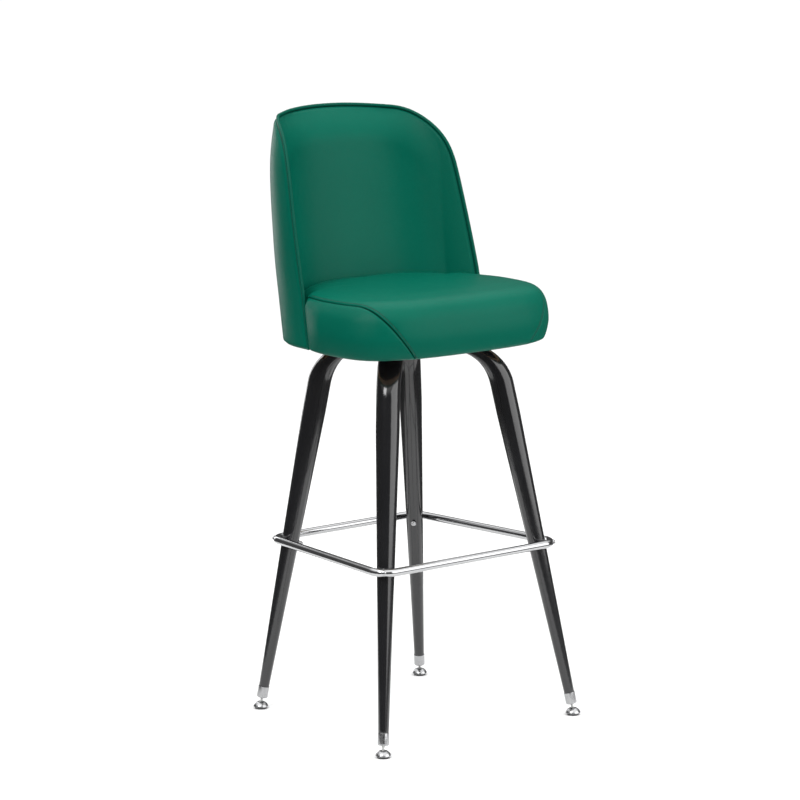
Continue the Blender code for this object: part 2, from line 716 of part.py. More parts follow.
def make_footring(base):
    """The chromed footring and, at each leg, its bolt and cap nut."""
    curve = bpy.data.curves.new("footring_path", "CURVE")
    curve.dimensions = "3D"
    curve.bevel_depth = RING_TUBE_RADIUS
    curve.bevel_resolution = 3
    spline = curve.splines.new("POLY")
    points = ring_path()
    spline.points.add(len(points) - 1)
    for slot, point in zip(spline.points, points):
        slot.co = (point.x, point.y, RING_HEIGHT, 1)
    spline.use_cyclic_u = True
    guide = bpy.data.objects.new("footring_path", curve)
    bpy.data.collections["bar_stool"].objects.link(guide)
    graph = bpy.context.evaluated_depsgraph_get()
    mesh = bpy.data.meshes.new_from_object(guide.evaluated_get(graph))
    bpy.data.objects.remove(guide)
    smooth(mesh)
    ring = piece("footring", mesh, "chrome", base)
    for side in LEG_TURNS:
        reach, height, out = ring_bolt_place(side)
        bolt_frame = empty(
            f"ring_bolt_frame_{side}",
            frame_of(side),
            (0, reach, height),
            (leg_slope(side) - math.pi / 2, 0, 0),
        )
        drill = cutter(
            f"footring_hole_{side}",
            cylinder_mesh(
                "drill", RING_BOLT_RADIUS + RING_HOLE_CLEARANCE, RING_TUBE_RADIUS * 2 + OVERRUN
            ),
            bolt_frame,
            (0, 0, out),
        )
        boolean(ring, drill)
        make_ring_bolt(side, bolt_frame, out)
        make_cap_nut(side, bolt_frame, height)


def make_ring_bolt(side, parent, out):
    """A round-headed bolt from outside, through the footring and the leg."""
    seat = out + RING_TUBE_RADIUS + GAP
    head = shared(RING_BOLT_HEAD_SHARES, RING_BOLT_HEAD_RADIUS, RING_BOLT_HEAD_HEIGHT)
    nut_face = leg_radius(side, RING_HEIGHT) + 2 * GAP
    end = -(nut_face + CAP_NUT_FLATS_HEIGHT)
    profile = [
        *((radius, seat + height) for radius, height in head),
        (RING_BOLT_RADIUS, seat),
        (RING_BOLT_RADIUS, end),
        (0, end),
    ]
    turned(f"ring_bolt_{side}", profile, "chrome", parent, steps=8)


def make_cap_nut(side, parent, height):
    """The domed nut on the leg's inner face, hollow for the bolt's end."""
    face = leg_radius(side, height) + 2 * GAP
    bore = RING_BOLT_RADIUS + GAP
    floor = CAP_NUT_FLATS_HEIGHT + CAP_NUT_FLOOR
    profile = [
        (0, -floor),
        (bore, -floor),
        (bore, 0),
        (CAP_NUT_RADIUS, 0),
        (CAP_NUT_RADIUS, -CAP_NUT_FLATS_HEIGHT),
        *shared(CAP_NUT_DOME_SHARES, CAP_NUT_RADIUS, -CAP_NUT_HEIGHT),
    ]
    turned(f"cap_nut_{side}", profile, "chrome", parent, (0, 0, -face), steps=8)


# Swivel
def plate_mesh(name):
    """A square plate with rounded corners, its lower face at z = 0."""
    shape = bmesh.new()
    bmesh.ops.create_cube(shape, size=1)
    side = PLATE_HALF_SIDE * 2
    bmesh.ops.scale(shape, vec=(side, side, PLATE_THICKNESS), verts=shape.verts[:])
    bmesh.ops.translate(shape, vec=(0, 0, PLATE_THICKNESS / 2), verts=shape.verts[:])
    upright = [
        edge for edge in shape.edges if abs(edge.verts[0].co.z - edge.verts[1].co.z) > GAP
    ]
    bmesh.ops.bevel(
        shape,
        geom=upright,
        offset=PLATE_CORNER,
        segments=PLATE_CORNER_STEPS,
        profile=PLATE_CORNER_SHARE,
        affect="EDGES",
    )
    mesh = bpy.data.meshes.new(name)
    shape.to_mesh(mesh)
    shape.free()
    return mesh


def race_rib(name, radius, bottom, top, parent, place):
    """A ring-shaped rib that is joined onto a plate, kept with the cutters."""
    half = RACE_RIB_WIDTH / 2
    rib = turned(
        name,
        [(radius + half, top), (radius + half, bottom), (radius - half, bottom), (radius - half, top)],
        "zinc_steel",
        parent,
        place,
        steps=24,
    )
    bpy.data.collections["bar_stool"].objects.unlink(rib)
    bpy.data.collections["cutters"].objects.link(rib)
    rib.hide_render = True
    rib.display_type = "WIRE"
    return rib


def drilled(thing, name, radius, length, parent, places, sides=8):
    """Drills upright holes at each of the places."""
    for number, place in enumerate(places):
        drill = cutter(
            f"{name}_{number + 1}", cylinder_mesh("drill", radius, length, sides), parent, place
        )
        boolean(thing, drill)


def leg_bolt_places():
    """(side, number, x, y) of each bolt through a leg's flat run."""
    return [
        (side, number + 1, reach * math.sin(angle), reach * math.cos(angle))
        for side, angle in LEG_TURNS.items()
        for number, reach in enumerate(LEG_BOLT_PLACES)
    ]


def seat_screw_places():
    """(x, y) of the four screws from the upper plate into the board."""
    return [
        (x * SEAT_SCREW_REACH, y * SEAT_SCREW_REACH) for x in (-1, 1) for y in (-1, 1)
    ]


def make_swivel(base, seat):
    """Two plates, their ribs round the balls, the ball cage and the rivet that joins them."""
    rib_gap = RACE_BALL_RADIUS + GAP + RACE_RIB_WIDTH / 2
    sunk = PLATE_THICKNESS / 2
    lower = piece("swivel_lower_plate", plate_mesh("plate"), "zinc_steel", base, (0, 0, LOWER_PLATE_Z))
    upper = piece("swivel_upper_plate", plate_mesh("plate"), "zinc_steel", seat, (0, 0, UPPER_PLATE_Z))
    for name, radius in (("inner", RACE_RADIUS - rib_gap), ("outer", RACE_RADIUS + rib_gap)):
        rise = race_rib(
            f"lower_rib_{name}",
            radius,
            sunk,
            PLATE_THICKNESS + RACE_RIB_HEIGHT,
            base,
            (0, 0, LOWER_PLATE_Z),
        )
        boolean(lower, rise, "UNION")
        drop = race_rib(
            f"upper_rib_{name}", radius, -RACE_RIB_HEIGHT, sunk, seat, (0, 0, UPPER_PLATE_Z)
        )
        boolean(upper, drop, "UNION")
    length = PLATE_THICKNESS + 2 * OVERRUN
    hole = RIVET_RADIUS + RIVET_CLEARANCE
    drilled(lower, "lower_rivet_hole", hole, length, base, [(0, 0, LOWER_PLATE_Z)], 16)
    drilled(upper, "upper_rivet_hole", hole, length, seat, [(0, 0, UPPER_PLATE_Z)], 16)
    bolt_hole = LEG_BOLT_RADIUS + SCREW_CLEARANCE
    bolts = [(x, y, LOWER_PLATE_Z) for _, _, x, y in leg_bolt_places()]
    drilled(lower, "lower_bolt_hole", bolt_hole, length, base, bolts)
    screw_hole = SEAT_SCREW_RADIUS + SCREW_CLEARANCE
    screws = [(x, y, UPPER_PLATE_Z) for x, y in seat_screw_places()]
    drilled(upper, "upper_screw_hole", screw_hole, length, seat, screws)
    make_cage(base)
    make_rivet(base)


def make_cage(base):
    """The ring that spaces the balls, with its balls: they roll round at half the seat's speed."""
    outer, inner = RACE_RADIUS + CAGE_HALF_WIDTH, RACE_RADIUS - CAGE_HALF_WIDTH
    pivot = empty("cage_pivot", base, (0, 0, RACE_Z))
    cage = turned(
        "ball_cage",
        [
            (outer, CAGE_HALF_HEIGHT),
            (outer, -CAGE_HALF_HEIGHT),
            (inner, -CAGE_HALF_HEIGHT),
            (inner, CAGE_HALF_HEIGHT),
        ],
        "zinc_steel",
        pivot,
        steps=24,
    )
    for number in range(RACE_BALL_COUNT):
        shape = bmesh.new()
        bmesh.ops.create_uvsphere(shape, u_segments=8, v_segments=5, radius=RACE_BALL_RADIUS)
        mesh = bpy.data.meshes.new("ball")
        shape.to_mesh(mesh)
        shape.free()
        angle = 2 * math.pi * number / RACE_BALL_COUNT
        ball = cutter(
            f"ball_{number + 1}",
            mesh,
            pivot,
            (RACE_RADIUS * math.cos(angle), RACE_RADIUS * math.sin(angle), 0),
        )
        boolean(cage, ball, "UNION")


def make_rivet(base):
    """The hollow rivet that holds the two plates together and lets the upper one turn."""
    bottom = LOWER_PLATE_Z - GAP - RIVET_FLANGE
    top = UPPER_PLATE_TOP + GAP + RIVET_FLANGE
    profile = [
        (RIVET_FLANGE_RADIUS, top),
        (RIVET_FLANGE_RADIUS, top - RIVET_FLANGE),
        (RIVET_RADIUS, top - RIVET_FLANGE),
        (RIVET_RADIUS, bottom + RIVET_FLANGE),
        (RIVET_FLANGE_RADIUS, bottom + RIVET_FLANGE),
        (RIVET_FLANGE_RADIUS, bottom),
        (RIVET_BORE, bottom),
        (RIVET_BORE, top),
    ]
    turned("swivel_rivet", profile, "zinc_steel", base, steps=16)


def make_fasteners(base, seat):
    """Bolts through the legs into the lower plate, and screws from the upper plate into the board."""
    under = LEG_RUN_HEIGHT - LEG_RUN_HALF_THICKNESS - GAP
    end = LOWER_PLATE_TOP + LEG_BOLT_END
    for side, number, x, y in leg_bolt_places():
        profile = [
            (0, end),
            (LEG_BOLT_RADIUS, end),
            (LEG_BOLT_RADIUS, under),
            (LEG_BOLT_HEAD_RADIUS, under),
            (LEG_BOLT_HEAD_RADIUS * HEAD_TOP_SHARE, under - LEG_BOLT_HEAD_HEIGHT),
            (0, under - LEG_BOLT_HEAD_HEIGHT),
        ]
        turned(f"leg_bolt_{side}_{number}", profile, "black_enamel", base, (x, y, 0), steps=8)
    seat_face = UPPER_PLATE_Z - GAP
    for number, (x, y) in enumerate(seat_screw_places()):
        profile = [
            (0, seat_face + SEAT_SCREW_LENGTH),
            (SEAT_SCREW_RADIUS, seat_face + SEAT_SCREW_LENGTH - SEAT_SCREW_RADIUS),
            (SEAT_SCREW_RADIUS, seat_face),
            (SEAT_SCREW_HEAD_RADIUS, seat_face),
            (SEAT_SCREW_HEAD_RADIUS * HEAD_TOP_SHARE, seat_face - SEAT_SCREW_HEAD_HEIGHT),
            (0, seat_face - SEAT_SCREW_HEAD_HEIGHT),
        ]
        turned(f"seat_screw_{number + 1}", profile, "zinc_steel", seat, (x, y, 0), steps=8)


# The back's outer face
def wing_line(height):
    """(x, y) of the wings' straight front edges."""
    above = max(height - WING_SEAT_HEIGHT, 0)
    below = min(height, WING_SEAT_HEIGHT) - SKIRT_HEIGHT
    y = WING_FOOT_Y + WING_FOOT_SLOPE * below + WING_SLOPE * above
    share = min(above / (WING_CORNER_HEIGHT - WING_SEAT_HEIGHT), 1)
    return WING_FOOT_X + (WING_CORNER_X - WING_FOOT_X) * share**WING_X_POWER, y


def back_edge(height):
    """(x, y) of the back's edge at a height: up the wing, round the corner and along the top."""
    if height <= WING_CORNER_HEIGHT:
        return wing_line(height)
    _, corner_y = wing_line(WING_CORNER_HEIGHT)
    if height <= TOP_END_HEIGHT:
        rise = (height - WING_CORNER_HEIGHT) / (TOP_END_HEIGHT - WING_CORNER_HEIGHT)
        lean = WING_SLOPE * (height - WING_CORNER_HEIGHT)
        whole_lean = WING_SLOPE * (TOP_END_HEIGHT - WING_CORNER_HEIGHT)
        sweep = TOP_END_Y - corner_y - whole_lean
        x = TOP_END_X + (WING_CORNER_X - TOP_END_X) * math.sqrt(1 - rise * rise)
        return x, corner_y + lean + sweep * rise**TOP_CORNER_POWER
    rise = min((height - TOP_END_HEIGHT) / (TOP_HEIGHT - TOP_END_HEIGHT), 1)
    share = math.sqrt(1 - math.sqrt(rise))
    bow = (1 - share**BACK_PLAN_POWER) ** (1 / TOP_EDGE_POWER)
    return TOP_END_X * share, TOP_END_Y + (TOP_MIDDLE_Y - TOP_END_Y) * bow


def rear_line(height):
    """How far behind the swivel axis the back's outer face lies at its middle."""
    share = (height - SKIRT_HEIGHT) / (TOP_HEIGHT - SKIRT_HEIGHT)
    bend = 1 - (1 - share) ** BACK_REAR_POWER
    turned_in = max(height - TOP_HEIGHT + BACK_TOP_SET_RISE, 0) / BACK_TOP_SET_RISE
    line = BACK_REAR_FOOT + (BACK_REAR_TOP - BACK_REAR_FOOT) * bend
    return line - BACK_TOP_SET * turned_in * turned_in


def back_section(height, samples=181):
    """Right half of the outer face's plan at a height, as (x, y) points from the rear's middle.

    x = X S and y = Ye + (Ym - Ye) C, with S = sin(t)^(2/p) and C = cos(t)^(2/q). The power q
    falls towards the top, where the plan is one smooth bow.
    """
    edge_x, edge_y = back_edge(height)
    climb = (height - WING_CORNER_HEIGHT) / (TOP_HEIGHT - WING_CORNER_HEIGHT)
    change = max(climb, 0) ** BACK_TOP_PLAN_CLIMB
    power = BACK_PLAN_POWER + (BACK_TOP_PLAN_POWER - BACK_PLAN_POWER) * change
    turns = np.linspace(0, math.pi / 2, samples)
    side = np.sin(turns) ** (2 / BACK_PLAN_POWER)
    depth = np.clip(np.cos(turns), 0, 1) ** (2 / power)
    return np.stack([edge_x * side, edge_y + (rear_line(height) - edge_y) * depth], axis=-1)


def section_run(section):
    """Length along a section from the rear's middle to each of its points."""
    steps = np.linalg.norm(np.diff(section, axis=0), axis=1)
    return np.concatenate([[0], np.cumsum(steps)])


def on_back(run, height, depth=0.0):
    """A point of the back: its signed run round from the rear's middle, height and depth inwards.

    Depth is measured level, towards an upright line in the middle of the seat.
    """
    section = back_section(height)
    runs = section_run(section)
    x, y = (np.interp(abs(run), runs, section[:, axis]) for axis in (0, 1))
    reach = math.hypot(x, y - BACK_CENTRE_Y)
    x -= x / reach * depth
    y -= (y - BACK_CENTRE_Y) / reach * depth
    return (x if run >= 0 else -x), y, height


def edge_domain():
    """(run, height) points of the back's edge, from the left skirt over the top to the right one."""
    corner = TOP_END_HEIGHT - WING_CORNER_HEIGHT
    crown = TOP_HEIGHT - TOP_END_HEIGHT
    heights = [
        *BACK_LEVELS,
        *(WING_CORNER_HEIGHT + corner * math.sin(math.radians(deg)) for deg in BACK_CORNER_DEG),
        *(TOP_END_HEIGHT + crown * (1 - share * share) ** 2 for share in BACK_TOP_SHARES),
    ]
    right = np.array([(section_run(back_section(height))[-1], height) for height in heights])
    left = right[:-1] * np.array([-1, 1])
    return np.concatenate([left, right[::-1]])


def edge_loops():
    """The edge and the loops inside it, at the distances of BACK_LOOPS, as (run, height)."""
    edge = edge_domain()
    along = np.gradient(edge, axis=0)
    along /= np.linalg.norm(along, axis=1, keepdims=True)
    inward = np.stack([along[:, 1], -along[:, 0]], axis=-1)
    levels = len(BACK_LEVELS)
    for rows, side in ((slice(0, levels), 1), (slice(-levels, None), -1)):
        inward[rows] = np.stack([side / np.abs(inward[rows, 0]), np.zeros(levels)], axis=-1)
    return np.array([edge + inward * distance for distance in BACK_LOOPS])


def inner_patch(loop):
    """A grid inside the innermost loop: a Coons patch whose lower rows stay level."""
    rows = len(BACK_LEVELS) + BACK_CORNER_COUNT
    left, right = loop[:rows], loop[::-1][:rows]
    top = loop[rows - 1 : len(loop) - rows + 1]
    across = np.linspace(0, 1, len(top))[None, :, None]
    foot = left[0] + (right[0] - left[0]) * across[0]
    start = BACK_LEVELS[LEVEL_ROW_COUNT]
    up = np.clip((left[:, 1] - start) / (left[-1, 1] - start), 0, 1)[:, None, None]
    up = up**INNER_RISE_POWER
    sides = left[:, None] * (1 - across) + right[:, None] * across
    ends = foot[None] * (1 - up) + top[None] * up
    corners = (left[0] * (1 - across) + right[0] * across) * (1 - up)
    corners = corners + (left[-1] * (1 - across) + right[-1] * across) * up
    return sides + ends - corners


def back_net(first_loop, first_level):
    """(points as (run, height), distances from the edge, quads) of one layer of the back."""
    loops = edge_loops()
    patch = inner_patch(loops[-1])[first_level:]
    loops = loops[first_loop:, first_level : loops.shape[1] - first_level]
    rows, columns = patch.shape[:2]
    index = np.arange(loops.shape[0] * loops.shape[1]).reshape(loops.shape[:2])
    grid = np.empty((rows, columns), int)
    last = index[-1]
    grid[:, 0], grid[:, -1] = last[:rows], last[::-1][:rows]
    grid[-1] = last[rows - 1 : rows - 1 + columns]
    grid[:-1, 1:-1] = index.size + np.arange((rows - 1) * (columns - 2)).reshape(rows - 1, -1)
    points = np.concatenate([loops.reshape(-1, 2), patch[:-1, 1:-1].reshape(-1, 2)])
    inside = np.full((rows - 1) * (columns - 2), BACK_LOOPS[-1])
    distances = np.concatenate([np.repeat(BACK_LOOPS[first_loop:], loops.shape[1]), inside])
    strip = np.stack([index[:-1, :-1], index[:-1, 1:], index[1:, 1:], index[1:, :-1]], axis=-1)
    inner = np.stack([grid[:-1, :-1], grid[1:, :-1], grid[1:, 1:], grid[:-1, 1:]], axis=-1)
    return points, distances, np.concatenate([strip.reshape(-1, 4), inner.reshape(-1, 4)])


def back_points(points, depths):
    """The net's points in space, each at its depth inwards from the outer face."""
    depths = np.broadcast_to(depths, len(points))
    return np.array([on_back(run, height, depth) for (run, height), depth in zip(points, depths)])


def roll_share(distances, width):
    """sqrt(1 - (1 - d / w)^2): 0 on the edge, 1 from the roll's width inwards."""
    return np.sqrt(1 - np.clip(1 - distances / width, 0, 1) ** 2)


def back_depth(points):
    """Thickness of the back's wall: the wings' at its sides, more at its middle and low down."""
    runs = np.abs(points[:, 0]) / section_run(back_section(WING_SEAT_HEIGHT))[-1]
    low = np.clip((TOP_HEIGHT - points[:, 1]) / (TOP_HEIGHT - WING_SEAT_HEIGHT), 0, 1)
    middle = BACK_DEPTH_TOP + (BACK_DEPTH_SEAT - BACK_DEPTH_TOP) * low**BACK_DEPTH_RISE_POWER
    side = np.clip(runs / BACK_DEPTH_MIDDLE_SHARE, 0, 1) ** BACK_DEPTH_SIDE_POWER
    return middle + (BACK_DEPTH_WING - middle) * side


def make_back(seat):
    """The back: plywood shell, wadding, foam, inside and outside covers, and the welt."""
    net, distances, quads = back_net(0, PAD_SKIP_COUNT)
    front = back_points(net, back_depth(net) * roll_share(distances, BACK_ROLL))
    inner = faces_mesh("inside", front, quads[:, [0, 3, 2, 1]])
    inside = piece("back_inside_cover", inner, "vinyl", seat)
    smooth(inside.data, 80)
    solidify(inside, COVER)

    net, distances, quads = back_net(INNER_LOOP_COUNT, PAD_SKIP_COUNT)
    roll = roll_share(distances, BACK_ROLL)
    front = back_depth(net) * roll - (COVER + PAD_CLEARANCE) / roll**2
    near = back_points(net, SHELL_BACK + GAP)
    foam = solid_mesh("foam", near, back_points(net, front), quads)
    piece("back_foam", foam, "foam", seat)

    net, _, quads = back_net(INNER_LOOP_COUNT, SHELL_SKIP_COUNT)
    shell = solid_mesh("shell", back_points(net, SHELL_FACE), back_points(net, SHELL_BACK), quads)
    piece("back_shell", shell, "plywood", seat)

    net, _, quads = back_net(INNER_LOOP_COUNT, WADDING_SKIP_COUNT)
    near = back_points(net, WADDING_FACE)
    wadding = solid_mesh("wadding", near, back_points(net, WADDING_FACE + WADDING), quads)
    piece("back_wadding", wadding, "foam", seat)

    net, distances, quads = back_net(0, 0)
    sunk = BACK_OUTER_ROLL_DEPTH * (1 - roll_share(distances, BACK_OUTER_ROLL))
    outer = faces_mesh("outside", back_points(net, sunk), quads)
    outside = piece("back_outside_cover", outer, "vinyl", seat)
    smooth(outside.data, 80)
    solidify(outside, COVER)
    make_welt(seat)


def make_welt(seat):
    """The piping sewn between the back's covers, along its edge from skirt to skirt."""
    loops = edge_loops()
    edge = back_points(loops[0], WELT_RADIUS)
    along = np.gradient(edge, axis=0)
    along /= np.linalg.norm(along, axis=1, keepdims=True)
    ahead = edge - back_points(loops[-1], WELT_RADIUS)
    ahead -= along * (ahead * along).sum(axis=1, keepdims=True)
    ahead /= np.linalg.norm(ahead, axis=1, keepdims=True)
    path = edge + ahead * WELT_AHEAD
    curve = bpy.data.curves.new("back_welt", "CURVE")
    curve.dimensions = "3D"
    curve.bevel_depth = WELT_RADIUS
    curve.bevel_resolution = 2
    curve.use_fill_caps = True
    spline = curve.splines.new("POLY")
    spline.points.add(len(path) - 1)
    for slot, (x, y, z) in zip(spline.points, path):
        slot.co = (x, y, z, 1)
    welt = bpy.data.objects.new("back_welt", curve)
    bpy.data.collections["bar_stool"].objects.link(welt)
    welt.data.materials.append(finish("vinyl"))
    welt.parent = seat


# The seat board and what is fixed to it
def front_half(inset, count):
    """(x, y) from the front's middle to the widest point: a superellipse."""
    turns = np.linspace(0, math.pi / 2, count)
    half_width = SEAT_HALF_WIDTH - inset
    reach = SEAT_REACH + SEAT_WIDEST_Y - inset
    x = half_width * np.sin(turns) ** (2 / SEAT_FRONT_POWER)
    y = SEAT_WIDEST_Y - reach * np.clip(np.cos(turns), 0, 1) ** (2 / SEAT_FRONT_POWER)
    return np.stack([x, y], axis=-1)


def mirrored(half):
    """The whole closed outline from its right half, whose ends lie on the middle."""
    left = half[-2:0:-1] * np.array([-1, 1])
    return np.concatenate([half, left])


def board_outline():
    """Plan of the seat board: the seat's outline in front, the plywood shell's inner face behind."""
    net = inner_patch(edge_loops()[-1])[SHELL_SKIP_COUNT]
    behind = back_points(net, SHELL_BACK + BOARD_CLEARANCE)[:, :2]
    behind = behind[len(behind) // 2 :][::-1]
    front = front_half(BOARD_INSET, SEAT_COUNTS[0])
    shoulder_y = WING_FOOT_Y - BOARD_SHOULDER_AHEAD
    shoulder = [
        (SEAT_WAIST_X - BOARD_INSET, shoulder_y),
        (behind[0, 0], WING_FOOT_Y),
    ]
    behind[-1, 0] = 0
    return mirrored(np.concatenate([front, shoulder, behind]))


def scaled(outline, share):
    """An outline drawn in towards the swivel axis."""
    return np.asarray(outline) * share


def make_board(seat):
    """The plywood seat board, the hoop glued under its edge, the dust cover and the shell screws."""
    outline = board_outline()
    board = piece("seat_board", prism_mesh("board", outline, BOARD_Z, BOARD_TOP), "plywood", seat)
    through = (BOARD_THICKNESS + OVERRUN) * 2
    drilled(board, "board_hole", BOARD_HOLE_RADIUS, through, seat, [(0, 0, BOARD_Z)], 16)
    screw_hole = SEAT_SCREW_RADIUS + SCREW_CLEARANCE
    depth = (SEAT_SCREW_LENGTH - PLATE_THICKNESS + 2 * GAP) * 2
    screws = [(x, y, BOARD_Z) for x, y in seat_screw_places()]
    drilled(board, "board_screw_hole", screw_hole, depth, seat, screws)
    hoop = prism_mesh(
        "hoop",
        scaled(outline, HOOP_SHARE),
        HOOP_Z,
        BOARD_Z - GAP,
        hole=scaled(outline, HOOP_OPENING_SHARE),
    )
    piece("seat_hoop", hoop, "plywood", seat)
    sides = 20
    turns = np.arange(sides) * 2 * math.pi / sides
    opening = np.stack([np.cos(turns), np.sin(turns)], axis=-1) * DUST_COVER_HOLE_RADIUS
    sheet = prism_mesh(
        "dust_cover",
        scaled(outline, DUST_COVER_SHARE),
        BOARD_Z - GAP - DUST_COVER_THICKNESS,
        BOARD_Z - GAP,
        hole=opening,
    )
    piece("dust_cover", sheet, "cambric", seat)
    make_shell_screws(board, seat)


def make_shell_screws(board, seat):
    """Screws from behind, through the plywood shell into the board's edge."""
    patch = inner_patch(edge_loops()[-1])
    shell = bpy.data.objects["back_shell"]
    middle = patch.shape[1] // 2
    for name, column in (("left", middle - 2), ("right", middle + 1)):
        corners = back_points(
            patch[SHELL_SKIP_COUNT : SHELL_SKIP_COUNT + 2, column : column + 2].reshape(-1, 2), 0
        )
        place = corners.mean(axis=0)
        inward = Vector(corners[3] - corners[0]).cross(Vector(corners[1] - corners[2])).normalized()
        inward *= -1 if inward.y > 0 else 1
        frame = empty(
            f"shell_screw_frame_{name}",
            seat,
            tuple(place),
            Vector((0, 0, 1)).rotation_difference(-inward).to_euler(),
        )
        face = -(SHELL_FACE - 2 * GAP)
        for target in (shell, board):
            drill = cutter(
                f"{target.name}_hole_{name}",
                cylinder_mesh("drill", SEAT_SCREW_RADIUS + SCREW_CLEARANCE, SHELL_SCREW_LENGTH * 2),
                frame,
                (0, 0, face - GAP),
            )
            boolean(target, drill)
        profile = [
            (0, face + SEAT_SCREW_HEAD_HEIGHT),
            (SEAT_SCREW_HEAD_RADIUS * HEAD_TOP_SHARE, face + SEAT_SCREW_HEAD_HEIGHT),
            (SEAT_SCREW_HEAD_RADIUS, face),
            (SEAT_SCREW_RADIUS, face),
            (SEAT_SCREW_RADIUS, face - SHELL_SCREW_LENGTH + SEAT_SCREW_RADIUS),
            (0, face - SHELL_SCREW_LENGTH),
        ]
        turned(f"shell_screw_{name}", profile, "zinc_steel", frame, steps=8)


# The seat's cushion and covers
def seat_profile():
    """The side of the seat as a smooth curve through SEAT_SIDE: its points and runs along it."""
    rows = np.array(SEAT_SIDE)
    ends = np.concatenate([[2 * rows[0] - rows[1]], rows, [2 * rows[-1] - rows[-2]]])
    part = np.arange(SEAT_PROFILE_STEPS)[:, None] / SEAT_PROFILE_STEPS
    pieces = []
    for before, first, second, after in zip(ends, ends[1:], ends[2:], ends[3:]):
        linear = second - before
        square = 2 * before - 5 * first + 4 * second - after
        cube = 3 * first - before - 3 * second + after
        pieces.append((2 * first + linear * part + square * part**2 + cube * part**3) / 2)
    curve = np.concatenate([*pieces, rows[-1:]])
    return curve, section_run(curve)


def profile_point(run, depth):
    """(inset, depth in plan, height) at a run along the seat's side, a depth in from its face."""
    curve, runs = seat_profile()
    here = [np.interp(run, runs, curve[:, axis]) for axis in (0, 1)]
    low, high = max(run - COVER, 0), min(run + COVER, runs[-1])
    along = [np.interp(high, runs, curve[:, a]) - np.interp(low, runs, curve[:, a]) for a in (0, 1)]
    length = math.hypot(*along)
    return here[0], depth * along[1] / length, here[1] - depth * along[0] / length


def run_of_height(height):
    """The run along the seat's side at which it has a height."""
    curve, runs = seat_profile()
    foot = SEAT_FOOT_COUNT * SEAT_PROFILE_STEPS
    return float(np.interp(height, curve[foot:, 1], runs[foot:]))


def seat_half(run, depth):
    """(x, y, z) of the seat's right half at a run up its side and a depth in from its face.

    From the front's middle round to the rear's: the side narrows to the wings, steps in behind
    them, and follows the back's inside cover.
    """
    inset, plan_depth, height = profile_point(run, depth)
    front_count, side_count, _, rear_count = SEAT_COUNTS
    wing_y = wing_line(max(height, SKIRT_HEIGHT))[1] - WING_CLEARANCE - plan_depth
    front = front_half(inset + plan_depth, front_count)
    drawn_in = max(inset, 0) + plan_depth
    waist = SEAT_WAIST_X - drawn_in
    share = np.linspace(0, 1, side_count + 1)[1:]
    side_x = front[-1, 0] + (waist - front[-1, 0]) * share**SEAT_SIDE_POWER
    side = np.stack([side_x, SEAT_WIDEST_Y + (wing_y - SEAT_WIDEST_Y) * share], axis=-1)
    edge = section_run(back_section(height))[-1]
    runs = (edge - SEAT_TUCK_RUN) * np.linspace(1, 0, rear_count)
    net = np.stack([runs, np.full(rear_count, height)], axis=-1)
    depths = back_depth(net) + SEAT_BACK_GAP + drawn_in
    rear = back_points(net, depths)[:, :2]
    rear[-1, 0] = 0
    tuck = side[-1] + np.array(SEAT_TUCK) * np.array([-1, 1])
    plan = np.concatenate([front, side, tuck, rear])
    return np.column_stack([plan, np.full(len(plan), height)])


def seam_run(column):
    """The run up the side at which the cover's seam, or its tucked edge, crosses a column."""
    front_count, side_count, _, _ = SEAT_COUNTS
    x = front_half(0, front_count)[min(column, front_count - 1), 0]
    if column >= front_count + side_count:
        return run_of_height(SEAT_TUCK_FOOT)
    if x < SEAM_START_X:
        return 0.0
    along = min((x - SEAM_START_X) / (SEAM_END_X - SEAM_START_X), 1)
    rise = 1 - (1 - along) ** SEAM_POWER
    return run_of_height(SKIRT_HEIGHT + (SEAT_EDGE_HEIGHT - SKIRT_HEIGHT) * rise)


def seam_columns():
    """(first, last) columns of a side's cover: from the seam's foot to the back's welt."""
    front_count, side_count, _, _ = SEAT_COUNTS
    first = next(column for column in range(front_count) if seam_run(column) > 0)
    return first - 1, front_count + side_count - 1


def crown_rows(edge, depth):
    """Loops inside the covers' innermost one, drawn in towards the middle and up to the crown."""
    centre = np.array([0, SEAT_CENTRE_Y, SEAT_CROWN_HEIGHT - depth])
    loops = []
    for share in CROWN_SHARES:
        loop = centre + (edge - centre) * share
        loop[:, 2] = centre[2] + (edge[:, 2] - centre[2]) * share * share
        loops.append(loop)
    return loops, centre


def whole_loop(half):
    """A closed loop of points from its right half."""
    left = half[-2:0:-1] * np.array([-1, 1, 1])
    return np.concatenate([half, left])


def row_runs():
    """The runs of SEAT_SIDE's own points up the side."""
    curve, runs = seat_profile()
    return runs[[int(np.argmin(np.linalg.norm(curve - row, axis=1))) for row in np.array(SEAT_SIDE)]]


def cushion_net(runs, depth):
    """(points, quads) of rows of closed loops and the crown, up to the middle point.

    runs holds, for each row, the run of each column of the half outline.
    """
    loops = []
    for row in runs:
        half = [seat_half(run, depth)[column] for column, run in enumerate(row)]
        loops.append(whole_loop(np.array(half)))
    crown, centre = crown_rows(loops[-1], depth)
    loops = np.array(loops + crown)
    tall, wide = loops.shape[:2]
    index = np.arange(tall * wide).reshape(tall, wide)
    right = np.roll(index, -1, axis=1)
    quads = np.stack([index[:-1], right[:-1], right[1:], index[1:]], axis=-1).reshape(-1, 4)
    top = np.full(wide, tall * wide)
    quads = np.concatenate([quads, np.stack([index[-1], right[-1], top, top], axis=-1)])
    return np.concatenate([loops.reshape(-1, 3), [centre]]), quads


